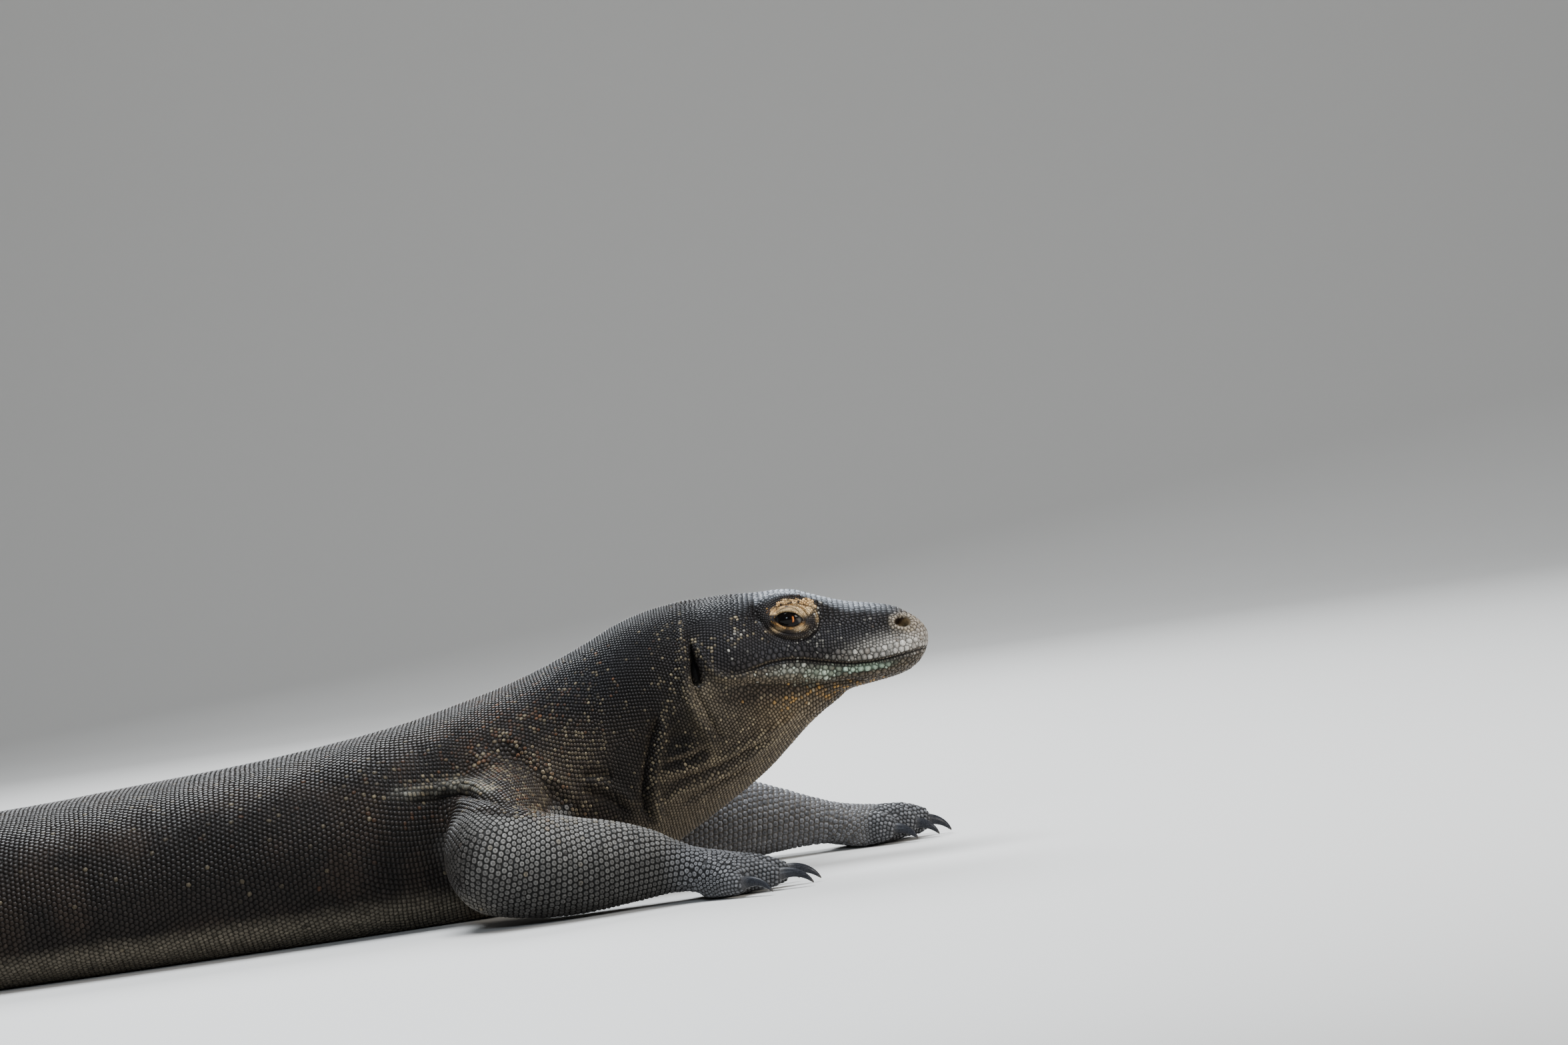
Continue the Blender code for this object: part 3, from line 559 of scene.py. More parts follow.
BROW_CRACKS = (
    ((0.2770, 0.1985), (0.2827, 0.1967), (0.2887, 0.1946)),
    ((0.2635, 0.1981), (0.2680, 0.1992), (0.2737, 0.1995)),
    ((0.2625, 0.1945), (0.2690, 0.1973), (0.2739, 0.1966), (0.2773, 0.1943), (0.2799, 0.1905),
     (0.2821, 0.1883)),
    ((0.2918, 0.1904), (0.2851, 0.1872), (0.2829, 0.1850)),
)
EAR_SLIT = ((0.1955, 0.1860), (0.1957, 0.1790), (0.1962, 0.1700), (0.1968, 0.1610), (0.1974, 0.1535))
JAW_RIDGE = (
    (0.1988, 0.1832), (0.2024, 0.1701), (0.2053, 0.1622), (0.2116, 0.1545), (0.2210, 0.1505),
    (0.2300, 0.1508), (0.2400, 0.1530),
)
EAR_RIDGE = (
    (0.1900, 0.1990), (0.1900, 0.1860), (0.1878, 0.1720), (0.1870, 0.1592), (0.1884, 0.1480),
    (0.1898, 0.1369), (0.1923, 0.1265), (0.1978, 0.1158), (0.2006, 0.1074), (0.2015, 0.0992),
    (0.2026, 0.0931),
)
THROAT_CREASE = (
    (0.1932, 0.1515), (0.1966, 0.1429), (0.2003, 0.1334), (0.2044, 0.1198), (0.2073, 0.1124),
    (0.2110, 0.1050),
)
COLLAR_CREASE = (
    (0.1650, 0.1345), (0.1618, 0.1245), (0.1572, 0.1130), (0.1538, 0.1040), (0.1500, 0.0941),
    (0.1482, 0.0843), (0.1466, 0.0745), (0.1470, 0.0646), (0.1490, 0.0540),
)
COLLAR_RIDGE = (
    (0.1712, 0.1330), (0.1675, 0.1210), (0.1630, 0.1107), (0.1598, 0.1011), (0.1558, 0.0925),
    (0.1541, 0.0819), (0.1525, 0.0702), (0.1540, 0.0599), (0.1561, 0.0467),
)
GULAR_RIDGES = (
    ((0.1516, 0.0643), (0.1643, 0.0695), (0.1731, 0.0748), (0.1832, 0.0758), (0.1976, 0.0788),
     (0.2100, 0.0821), (0.2251, 0.0899), (0.2412, 0.0977), (0.2560, 0.1050)),
    ((0.2006, 0.0934), (0.2117, 0.0945), (0.2224, 0.0993), (0.2319, 0.1030), (0.2424, 0.1065),
     (0.2539, 0.1105), (0.2680, 0.1180)),
    ((0.1569, 0.0875), (0.1710, 0.0885), (0.1851, 0.0896), (0.2006, 0.0934)),
)
GULAR_CREASES = (
    ((0.1620, 0.0790), (0.1741, 0.0815), (0.1880, 0.0838), (0.2060, 0.0872), (0.2230, 0.0935),
     (0.2400, 0.1015)),
    ((0.1640, 0.0945), (0.1780, 0.0960), (0.1900, 0.0985), (0.1990, 0.1030)),
    ((0.1700, 0.0620), (0.1850, 0.0680), (0.2000, 0.0735), (0.2150, 0.0790), (0.2300, 0.0865)),
)
LOW_CREASE = ((0.1020, 0.0972), (0.1082, 0.0968), (0.1167, 0.0967), (0.1217, 0.0939), (0.1262, 0.0900))
LOWER_CREASE = ((0.1000, 0.0865), (0.1065, 0.0853), (0.1175, 0.0794), (0.1273, 0.0727), (0.1343, 0.0616))
CHEST_RIDGE = ((0.1040, 0.0915), (0.1120, 0.0900), (0.1220, 0.0855), (0.1310, 0.0790), (0.1390, 0.0690))
ELBOW_CREASE = (
    (-0.0300, 0.0985), (-0.0129, 0.0967), (-0.0021, 0.0973), (0.0076, 0.0981), (0.0172, 0.0978),
    (0.0298, 0.0961), (0.0391, 0.0937), (0.0480, 0.0881), (0.0560, 0.0838), (0.0635, 0.0763),
)
ELBOW_RIDGE = (
    (-0.0330, 0.1030), (-0.0122, 0.1020), (-0.0013, 0.1031), (0.0073, 0.1035), (0.0202, 0.1033),
    (0.0306, 0.1013), (0.0391, 0.1008),
)
ARM_RIDGE = (
    (0.0080, 0.0905), (0.0163, 0.0915), (0.0291, 0.0908), (0.0395, 0.0888), (0.0495, 0.0836),
    (0.0594, 0.0779),
)
SHOULDER_RIDGES = (
    ((0.0448, 0.1412), (0.0541, 0.1313), (0.0633, 0.1215), (0.0712, 0.1106), (0.0790, 0.1021),
     (0.0868, 0.0947), (0.0936, 0.0851), (0.0992, 0.0713)),
    ((0.0260, 0.1270), (0.0342, 0.1191), (0.0445, 0.1090), (0.0517, 0.0994), (0.0600, 0.0897),
     (0.0683, 0.0799), (0.0777, 0.0711)),
)
SHOULDER_HOLLOW = (
    (0.0560, 0.1230), (0.0620, 0.1140), (0.0655, 0.1050), (0.0690, 0.0960), (0.0760, 0.0880),
    (0.0840, 0.0800),
)
WRIST_CREASES = (
    ((0.1170, 0.0450), (0.1230, 0.0510), (0.1330, 0.0562)),
    ((0.1270, 0.0420), (0.1330, 0.0485), (0.1430, 0.0535)),
    ((0.1370, 0.0390), (0.1430, 0.0450), (0.1520, 0.0490)),
)

# Each fold: its line, how far the skin rises, its half-width, whether both sides of the animal have it.
FOLDS = (
    (JAW_RIDGE, 0.0038, 0.0026, True),
    (LIP_CREASE, -0.0030, 0.0028, True),
    (LIP_BAND, 0.0020, 0.0042, True),
    (ORBIT_CREASE, -0.0030, 0.0019, True),
    (LID_CREASE, -0.0011, 0.0009, True),
    (BROW_EDGE, 0.0016, 0.0024, True),
    (EAR_RIDGE, 0.0036, 0.0034, True),
    (THROAT_CREASE, -0.0028, 0.0019, True),
    (COLLAR_CREASE, -0.0052, 0.0030, True),
    (COLLAR_RIDGE, 0.0036, 0.0040, True),
    *((line, 0.0022, 0.0028, True) for line in GULAR_RIDGES),
    *((line, -0.0024, 0.0026, True) for line in GULAR_CREASES),
    (LOW_CREASE, -0.0036, 0.0026, False),
    (LOWER_CREASE, -0.0040, 0.0030, False),
    (CHEST_RIDGE, 0.0022, 0.0036, False),
    (ELBOW_CREASE, -0.0036, 0.0024, False),
    (ELBOW_RIDGE, 0.0036, 0.0034, False),
    (ARM_RIDGE, 0.0022, 0.0030, False),
    (SHOULDER_HOLLOW, -0.0026, 0.0060, False),
    *((line, 0.0028, 0.0060, False) for line in SHOULDER_RIDGES),
    *((line, -0.0016, 0.0013, False) for line in WRIST_CREASES),
    *((line, -0.0009, 0.0007, True) for line in BROW_CRACKS),
    (MOUTH_LINE, -0.0022, 0.0012, True),
)
# Soft bulges and hollows, as (x, z), radii and rise.
BULGES = (
    ((0.2230, 0.1740), (0.0190, 0.0190), 0.0066),  # the jaw's muscle
    ((0.2470, 0.1960), (0.0048, 0.0120), -0.0034),  # the hollow between it and the eye
    ((0.2700, 0.2035), (0.0170, 0.0052), 0.0026),  # the brow
    ((0.2700, 0.1860), (0.0200, 0.0110), 0.0016),  # the ball of the eye
    ((0.3010, 0.1830), (0.0090, 0.0100), -0.0022),  # the hollow ahead of the eye
    ((0.1780, 0.1120), (0.0110, 0.0140), -0.0036),  # hollows between the throat's folds
    ((0.1780, 0.1500), (0.0080, 0.0250), -0.0024),
    ((0.2300, 0.1400), (0.0300, 0.0060), -0.0012),
)
DRAPE_HEIGHT = 0.0030
NOSTRIL_RIM, NOSTRIL_DEPTH = 0.0006, 0.0075
SOCKET_DEPTH = 0.004  # how far behind the eyeball's middle the socket's floor lies


def cloud(points, size, seed):
    """Soft random values from 0 to 1 that change over about size: a hashed lattice, blended by S-curves."""
    p = points / size + 100.0 + seed * 7.31
    cell = np.floor(p).astype(np.int64)
    part = p - cell
    part = part * part * (3 - 2 * part)
    total = np.zeros(len(points))
    for corner in range(8):
        step = np.array([corner >> 2 & 1, corner >> 1 & 1, corner & 1])
        k = cell + step
        h = (k[:, 0] * 73856093) ^ (k[:, 1] * 19349663) ^ (k[:, 2] * 83492791) ^ (seed * 2654435)
        h = (h ^ (h >> 13)) * 1274126177 & 0x7FFFFFFF
        weight = np.prod(np.where(step == 1, part, 1 - part), axis=1)
        total += weight * (h % 65536) / 65535
    return total


def blob(x, z, middle, radii):
    """1 at a middle, falling softly to 0 past its radii."""
    return np.exp(-(((x - middle[0]) / radii[0]) ** 2) - ((z - middle[1]) / radii[1]) ** 2)


def off_arms(points):
    """1 on the head, neck and throat, 0 on the forelegs that lie beside them."""
    return np.where(points[:, 0] > 0.125, smooth(-np.abs(points[:, 1]), -0.074, -0.066), 1.0)


def ear_width(share):
    """Half the width of the ear's opening at a share of the way down it: a tall narrow triangle."""
    return 0.0004 + 0.0031 * smooth(share, 0.10, 0.95)


def nostril_ring(x, z):
    """How far points are from the nostril's middle, seen from the side: 1 at its edge, a leaning oval."""
    above = z - NOSTRIL[1] + NOSTRIL_LEAN * (x - NOSTRIL[0])
    return np.hypot((x - NOSTRIL[0]) / NOSTRIL_HALF[0], above / NOSTRIL_HALF[1])


def fold_rise(points, sideways):
    """How far folds raise or sink the skin: each a bell curve across its line that dies out at its ends."""
    y = points[:, 1]
    rise = np.zeros(len(points))
    for line, height, half_width, both in FOLDS:
        distance, share = off_line(points, line)
        ends = smooth(share, 0.0, 0.16) * smooth(-share, -1.0, -0.84)
        if line is MOUTH_LINE:
            ends = np.where(share < 0.5, 1.0, ends)
        side = off_arms(points) if both else y < 0
        on_arm = line in (ELBOW_CREASE, ELBOW_RIDGE, ARM_RIDGE)
        shown = smooth(-y, 0.055, 0.075) if on_arm else sideways
        if line in WRIST_CREASES:
            shown = smooth(-y, 0.105, 0.120)
        rise += height * np.exp(-((distance / half_width) ** 2)) * ends * shown * side
    return rise


def folded(points, faces):
    """The points moved along their normals by every fold, hollow and bulge."""
    normals = normals_of(points, faces)
    sideways = smooth(np.abs(normals[:, 1]), 0.25, 0.6)
    x, y, z = points.T
    rise = fold_rise(points, sideways)
    # The ear: a hollow that is deepest low down, and runs up into a narrow groove.
    distance, share = off_line(points, EAR_SLIT)
    depth = 0.0010 + 0.0110 * smooth(share, 0.10, 0.50)
    rise -= depth * smooth(-distance / ear_width(share), -1.45, -0.80) * smooth(share, 0.0, 0.10) * sideways
    # Loose skin: soft folds that run up the neck and the flanks.
    upright = points * (1.0, 0.4, 0.35)
    drape = cloud(upright, 0.016, 3) + cloud(upright, 0.009, 4) * 0.4 - 0.7
    rise += DRAPE_HEIGHT * drape * smooth(-x, -0.20, -0.10) * sideways * smooth(z, 0.02, 0.05)
    for middle, radii, height in BULGES:
        rise += height * blob(x, z, middle, radii) * smooth(np.abs(y), 0.008, 0.016)
    # Nostrils: an oval pit with a raised rim.
    oval = nostril_ring(x, z)
    rim = NOSTRIL_RIM * np.exp(-(((oval - 1.35) / 0.30) ** 2))
    rise += (rim - NOSTRIL_DEPTH * smooth(-oval, -1.10, -0.70)) * sideways
    moved = points + normals * rise[:, None]
    # The eyes' sockets: inside the opening the skin passes behind the eyeball.
    opening = np.hypot((x - EYE[0]) / (EYE_OPENING[0] + 0.0026), (z - EYE[2]) / (EYE_OPENING[1] + 0.0030))
    inside = smooth(-opening, -1.20, -0.90) * (np.abs(y) > 0.015)
    depth = np.where(y < 0, -EYE[1] + SOCKET_DEPTH, EYE[1] - SOCKET_DEPTH)
    moved[:, 1] = moved[:, 1] * (1 - inside) + depth * inside
    moved[:, 2] = np.maximum(moved[:, 2], FLOOR_CLEAR)
    return moved


def fine_places(middles):
    """Where the form needs smaller faces: the head, the throat and the near shoulder."""
    x, _, z = middles.T
    return (x > 0.135) & (z > 0.05)


def finest_places(middles):
    """Where it needs the smallest: mouth, nostrils, ears and the eyes' surrounds."""
    mouth, _ = off_line(middles, MOUTH_LINE)
    ear, _ = off_line(middles, EAR_SLIT)
    nostril = np.hypot(middles[:, 0] - NOSTRIL[0], middles[:, 2] - NOSTRIL[1])
    eye = np.hypot(middles[:, 0] - EYE[0], middles[:, 2] - EYE[2])
    at_side = np.abs(middles[:, 1]) > 0.006
    return at_side & ((mouth < 0.004) | (ear < 0.009) | (nostril < 0.010) | (eye < 0.017))


# The far elbow and both wrists are drawn smooth before the folds go in.
JOINTS = [LEGS["left_upper_arm"][-1][:3], LEGS["left_forearm"][-1][:3], LEGS["right_forearm"][-1][:3]]
JOINT_RADIUS = 0.034
off_joints = [np.linalg.norm(form - joint, axis=1) / JOINT_RADIUS for joint in JOINTS]
at_joint = np.max([np.exp(-(distance**4)) for distance in off_joints], 0)
form = relax(form, edges_of(quads), 14, 0.6 * at_joint)
form, faces = refined(form, quads, fine_places)
form, faces = refined(form, faces, finest_places)
form = relax(form, edges_of(faces), 3, np.full(len(form), 0.5) * (form[:, 0] > 0.13))
form = folded(form, faces)
form = relax(form, edges_of(faces), 1, np.full(len(form), 0.4))
normals = normals_of(form, faces)

# The colours, the same for hide and scales: near-black brown on the trunk, a painted blue-grey sky
# reflection on the crown, tan at the snout's end, beige at the throat, mid grey on the forelegs, ochre
# round the eyes.
def colour(*rgb):
    return np.array(rgb)


TRUNK, BROWN = colour(0.0115, 0.0088, 0.0074), colour(0.022, 0.015, 0.011)
# Broad fields seen from the side: (x, z), radii, strength, the scales' colour.
FIELDS = (
    ((0.130, 0.155), (0.060, 0.045), 0.90, (0.0062, 0.0052, 0.0054)),
    ((0.205, 0.178), (0.026, 0.030), 0.60, (0.014, 0.013, 0.014)),
    ((0.090, 0.100), (0.050, 0.030), 0.75, (0.054, 0.042, 0.032)),
    ((0.226, 0.176), (0.036, 0.026), 0.90, (0.024, 0.022, 0.024)),
    ((0.225, 0.205), (0.040, 0.014), 0.90, (0.009, 0.0087, 0.010)),
    ((0.305, 0.172), (0.040, 0.018), 0.97, (0.025, 0.024, 0.027)),
    ((0.258, 0.168), (0.024, 0.009), 0.80, (0.040, 0.039, 0.043)),
    ((0.215, 0.125), (0.028, 0.020), 1.00, (0.080, 0.065, 0.048)),
    ((0.200, 0.140), (0.012, 0.014), 0.80, (0.170, 0.138, 0.095)),
    ((0.262, 0.118), (0.026, 0.020), 1.00, (0.150, 0.108, 0.062)),
    ((0.235, 0.085), (0.036, 0.022), 1.00, (0.076, 0.062, 0.047)),
    ((0.195, 0.060), (0.040, 0.022), 1.00, (0.080, 0.066, 0.050)),
    ((0.178, 0.105), (0.018, 0.020), 0.92, (0.010, 0.0085, 0.0075)),
    ((0.175, 0.145), (0.010, 0.030), 0.60, (0.010, 0.009, 0.008)),
    ((0.133, 0.085), (0.014, 0.040), 0.80, (0.020, 0.017, 0.015)),
    ((0.000, 0.060), (0.032, 0.022), 0.80, (0.024, 0.020, 0.017)),
    ((0.250, 0.136), (0.050, 0.0055), 0.85, (0.040, 0.030, 0.022)),
    ((0.366, 0.166), (0.013, 0.018), 1.00, (0.260, 0.215, 0.170)),
    ((0.350, 0.157), (0.026, 0.008), 0.97, (0.560, 0.530, 0.480)),
    ((0.318, 0.154), (0.014, 0.005), 0.70, (0.200, 0.185, 0.160)),
    ((0.352, 0.138), (0.026, 0.0085), 1.0, (0.046, 0.034, 0.021)),
    ((0.324, 0.1440), (0.017, 0.0026), 1.00, (0.300, 0.390, 0.290)),
    ((0.288, 0.1440), (0.013, 0.0045), 1.00, (0.300, 0.350, 0.260)),
    ((0.264, 0.1490), (0.014, 0.0045), 1.00, (0.240, 0.245, 0.200)),
    ((0.240, 0.1510), (0.014, 0.0035), 0.70, (0.120, 0.100, 0.075)),
    ((0.310, 0.1375), (0.020, 0.0030), 0.70, (0.060, 0.050, 0.034)),
)
RUST, CREAM, WHITE = colour(0.185, 0.080, 0.034), colour(0.460, 0.370, 0.230), colour(0.66, 0.63, 0.56)
ORANGE = colour(0.560, 0.300, 0.070)
# Marks on single scales: (x, z), radii, the share of scales that carry them, their colour.
MARKS = (
    ((0.045, 0.145), (0.050, 0.030), 0.40, RUST * 0.38),
    ((0.060, 0.140), (0.035, 0.026), 0.14, RUST * 0.8),
    ((0.080, 0.140), (0.035, 0.026), 0.12, CREAM * 0.6),
    ((0.100, 0.105), (0.045, 0.028), 0.65, CREAM * 0.32),
    ((0.095, 0.110), (0.035, 0.025), 0.22, CREAM * 0.6),
    ((0.005, 0.108), (0.045, 0.008), 0.45, CREAM * 0.5),
    ((0.010, 0.118), (0.055, 0.012), 0.18, RUST * 0.4),
    ((-0.010, 0.085), (0.014, 0.010), 0.30, RUST * 0.35),
    ((-0.100, 0.100), (0.120, 0.040), 0.030, RUST * 0.35),
    ((-0.100, 0.110), (0.260, 0.060), 0.050, CREAM * 0.3),
    ((0.135, 0.140), (0.040, 0.050), 0.05, CREAM * 0.35),
    ((0.115, 0.150), (0.030, 0.030), 0.06, CREAM * 0.5),
    ((0.130, 0.165), (0.040, 0.025), 0.04, RUST),
    ((0.178, 0.160), (0.014, 0.035), 0.12, CREAM * 0.7),
    ((0.187, 0.176), (0.006, 0.016), 0.45, CREAM * 0.8),
    ((0.209, 0.174), (0.006, 0.010), 0.24, CREAM * 0.8),
    ((0.232, 0.186), (0.013, 0.010), 0.20, CREAM),
    ((0.234, 0.177), (0.008, 0.007), 0.30, WHITE * 0.8),
    ((0.255, 0.187), (0.008, 0.010), 0.12, ORANGE),
    ((0.274, 0.1985), (0.016, 0.0060), 0.40, colour(0.050, 0.028, 0.018)),
    ((0.305, 0.170), (0.036, 0.018), 0.12, WHITE * 0.40),
    ((0.285, 0.172), (0.016, 0.008), 0.24, WHITE * 0.55),
    ((0.292, 0.187), (0.004, 0.008), 0.45, WHITE * 0.7),
    ((0.330, 0.160), (0.020, 0.005), 0.35, WHITE * 0.6),
    ((0.322, 0.1530), (0.018, 0.0040), 0.60, WHITE * 0.9),
    ((0.352, 0.1560), (0.017, 0.0060), 0.65, WHITE),
    ((0.3620, 0.1700), (0.012, 0.014), 0.30, CREAM * 0.9),
    ((0.3500, 0.1570), (0.026, 0.009), 0.30, colour(0.120, 0.085, 0.060)),
    ((0.3640, 0.1680), (0.012, 0.016), 0.35, colour(0.090, 0.062, 0.045)),
    ((0.2750, 0.1460), (0.040, 0.0060), 0.25, colour(0.060, 0.048, 0.036)),
    ((0.285, 0.1445), (0.016, 0.0050), 0.85, colour(0.54, 0.62, 0.50)),
    ((0.260, 0.1495), (0.014, 0.0040), 0.60, colour(0.54, 0.55, 0.47)),
    ((0.324, 0.1440), (0.016, 0.0024), 0.75, colour(0.52, 0.68, 0.54)),
    ((0.312, 0.1340), (0.022, 0.0034), 0.75, ORANGE),
    ((0.283, 0.1290), (0.020, 0.0060), 0.65, ORANGE * 0.9),
    ((0.265, 0.1250), (0.020, 0.0080), 0.22, ORANGE * 0.8),
    ((0.265, 0.1150), (0.026, 0.0150), 0.30, CREAM * 0.8),
    ((0.230, 0.0850), (0.045, 0.0350), 0.25, CREAM * 0.6),
    ((0.200, 0.1350), (0.018, 0.0180), 0.30, CREAM * 0.7),
)
# Marks along folds: the line, their half-width, the share of scales, their colour.
LINE_MARKS = (
    *((line, 0.0028, 0.55, CREAM * 0.6) for line in GULAR_RIDGES),
    (COLLAR_RIDGE, 0.0032, 0.55, CREAM * 0.5),
    (EAR_RIDGE, 0.0030, 0.40, CREAM * 0.5),
    (JAW_RIDGE, 0.0022, 0.40, CREAM * 0.6),
    *((line, 0.0055, 0.30, CREAM * 0.55) for line in SHOULDER_RIDGES),
    *((line, 0.0055, 0.20, RUST * 0.8) for line in SHOULDER_RIDGES),
    (ELBOW_RIDGE, 0.0030, 0.35, CREAM * 0.7),
)
# Where the near arm turns grey, seen from the side.
ARM_TOP = (
    (-0.0300, 0.0500), (-0.0050, 0.0700), (0.0133, 0.0860), (0.0222, 0.0885), (0.0369, 0.0868),
    (0.0452, 0.0845), (0.0573, 0.0800), (0.0738, 0.0780), (0.1000, 0.0780), (0.2500, 0.0780),
)
# The ochre patch over each eye: its upper edge, and its lower edge ahead of the eye.
BROW_TOP = (
    (0.2560, 0.1920), (0.2588, 0.1969), (0.2630, 0.1984), (0.2640, 0.2012), (0.2684, 0.2020),
    (0.2759, 0.2014), (0.2807, 0.2001), (0.2857, 0.2000), (0.2892, 0.1985), (0.2914, 0.1961),
    (0.2922, 0.1900),
)
BROW_FRONT = (
    (0.2500, 0.1700), (0.2815, 0.1700), (0.2819, 0.1865), (0.2844, 0.1867), (0.2871, 0.1904),
    (0.2907, 0.1924), (0.2914, 0.1961),
)
# A blue-grey sheen on the crown where it faces up: a painted reflection of the sky.
CROWN_SKY_REFLECTION = colour(0.370, 0.398, 0.440)
FORELEG, HIND_LEG = colour(0.152, 0.146, 0.138), colour(0.070, 0.063, 0.056)
FAR_FORELEG = colour(0.108, 0.110, 0.118)
BELLY, NAPE = colour(0.110, 0.095, 0.072), colour(0.011, 0.011, 0.013)
THROAT_UNDER, CHIN_UNDER = colour(0.110, 0.086, 0.058), colour(0.080, 0.062, 0.043)
ELBOW_PALE, HANDS = colour(0.160, 0.153, 0.128), colour(0.105, 0.105, 0.110)
FAR_SKIN = colour(0.110, 0.098, 0.086)  # between the far foreleg's scales
OCHRE, PALE_OCHRE = colour(0.540, 0.290, 0.100), colour(0.840, 0.600, 0.320)
ORBIT, LID_LINE = colour(0.022, 0.018, 0.017), colour(0.110, 0.055, 0.022)
NOSTRIL_EDGE = colour(0.300, 0.250, 0.190)
# Inside the nostril: its tan floor, and the painted shade behind and above it.
NOSTRIL_FLOOR, NOSTRIL_SHADE = colour(0.36, 0.25, 0.13), colour(0.030, 0.014, 0.008)
# Painted shade for deep folds: on the scales, and on the skin between them.
CREASE_SHADE, SHADE = colour(0.010, 0.008, 0.007), colour(0.006, 0.005, 0.005)
# Pale patches round the eye: (x, z), radii, strength.
EYE_PATCHES = (
    ((0.2605, 0.1818), (0.0040, 0.0020), 0.9),
    ((0.2782, 0.1802), (0.0042, 0.0020), 1.0),
    ((0.2915, 0.1868), (0.0012, 0.0050), 0.7),
    ((0.2835, 0.1925), (0.0050, 0.0034), 0.8),
)
# Deep folds, the ear's pit and the mouth's line are darkened with painted shade: the line, its half-width,
# how dark.
SHADED_LINES = (
    (EAR_SLIT, 0.0036, 0.95),
    (COLLAR_CREASE, 0.0030, 0.5),
    (ELBOW_CREASE, 0.0022, 0.3),
    (MOUTH_LINE, 0.0011, 0.9),
    (ORBIT_CREASE, 0.0012, 0.8),
    (LID_CREASE, 0.0007, 0.6),
    *((crack, 0.0005, 0.85) for crack in BROW_CRACKS),
)


def mix(a, b, share):
    """a and b mixed point by point."""
    share = np.asarray(share)[..., None]
    return a * (1 - share) + b * share


def tree_of(points):
    """A search tree of points."""
    tree = KDTree(len(points))
    for k, p in enumerate(points.tolist()):
        tree.insert(p, k)
    tree.balance()
    return tree


def on_legs(points):
    """How surely points belong to the near foreleg, the far one and the hind legs rather than the trunk."""
    masks = []
    for names in (
        ("right_upper_arm", "right_forearm"),
        ("left_upper_arm", "left_forearm"),
        ("right_thigh", "right_shank", "left_thigh", "left_shank"),
    ):
        lines = [np.array(LEGS[name])[:, :3] for name in names]
        path = [line[int(len(line) * 0.25) :] for line in lines]
        spots = np.concatenate([at_rows(part, np.linspace(0, len(part) - 1, 12)) for part in path])
        tree = tree_of(spots)
        near = np.array([tree.find(p)[2] for p in points.tolist()])
        masks.append(smooth(-near, -0.054, -0.045))
    return masks


def trunk_tones(points, facing):
    """Head, neck and trunk: brown clouds, a paler belly, broad fields, then underside, a painted sky
    reflection on the crown, and nape.
    """
    x, _, z = points.T
    up = facing[:, 2]
    tones = TRUNK * (0.70 + 0.60 * cloud(points, 0.040, 41))[:, None]
    tones = mix(tones, BROWN, smooth(cloud(points, 0.025, 42), 0.45, 0.80) * 0.7)
    tones = mix(tones, BELLY, smooth(-up, 0.3, 0.8) * smooth(-z, -0.10, -0.03))
    sideways = smooth(np.abs(facing[:, 1]) + np.maximum(facing[:, 0], 0), 0.15, 0.5)
    for middle, radii, strength, tone in FIELDS:
        tones = mix(tones, tone, blob(x, z, middle, radii) * strength * sideways)
    under = smooth(-up, 0.1, 0.6) * smooth(x, 0.10, 0.18) * smooth(z, 0.0, 0.03)
    tones = mix(tones, THROAT_UNDER, under * smooth(-x, -0.31, -0.27) * 0.8)
    tones = mix(tones, CHIN_UNDER, under * smooth(x, 0.27, 0.31) * 0.8)
    top = smooth(up, 0.35, 0.80)
    # The crown's faces that look up take a painted reflection of the sky.
    sky_reflection = smooth(up + 0.15 * (cloud(points, 0.020, 46) - 0.5), 0.62, 1.0)
    sky_reflection = sky_reflection * (0.05 + 0.95 * smooth(x, 0.228, 0.276))
    tones = mix(tones, CROWN_SKY_REFLECTION, sky_reflection * smooth(x, 0.17, 0.22) * smooth(-x, -0.374, -0.300) * 0.95)
    return mix(tones, NAPE, top * smooth(x, 0.02, 0.12) * smooth(-x, -0.21, -0.15) * 0.8)


def leg_tones(points, tones):
    """The legs over the trunk's tones. Returns the tones, and how surely points lie on each foreleg."""
    x, y, z = points.T
    near_leg, far_leg, hind_leg = on_legs(points)
    ragged = 0.006 * (cloud(points, 0.010, 45) - 0.5)
    near_leg = near_leg * smooth(np.interp(x, *np.array(ARM_TOP).T) + ragged - z, -0.001, 0.004)
    near_leg = near_leg * (0.12 + 0.88 * smooth(x + 3 * ragged, 0.0, 0.045)) * (y < -0.07)
    far_leg = far_leg * smooth(x, 0.06, 0.10)
    tones = mix(tones, FORELEG, near_leg)
    # The near foreleg is darkened towards the floor: painted shade.
    tones = tones * (1 - 0.68 * near_leg * smooth(-z, -0.070, -0.020))[:, None]
    tones = mix(tones, FAR_FORELEG, far_leg)
    # Paler, patchily, along the ridge above the near elbow.
    ridge, _ = off_line(points, ELBOW_RIDGE)
    tone_weight = np.exp(-((ridge / 0.0042) ** 2)) * (y < -0.05) * smooth(-x, -0.048, -0.030)
    tone_weight = tone_weight * (0.25 + 0.75 * smooth(cloud(points, 0.007, 47), 0.35, 0.65))
    tones = mix(tones, ELBOW_PALE, tone_weight)
    tones = mix(tones, HIND_LEG, hind_leg)
    hands = smooth(x, 0.150, 0.175) * smooth(-z, -0.050, -0.035) * (np.abs(y) > 0.085)
    return mix(tones, HANDS, hands), near_leg, far_leg


def eye_offsets(x, z):
    """How far ahead of the eye's middle and above it points are, as shares of the opening's half sizes."""
    above = z - EYE[2] + EYE_LEAN * (x - EYE[0])
    return (x - EYE[0]) / EYE_OPENING[0], above / EYE_OPENING[1]


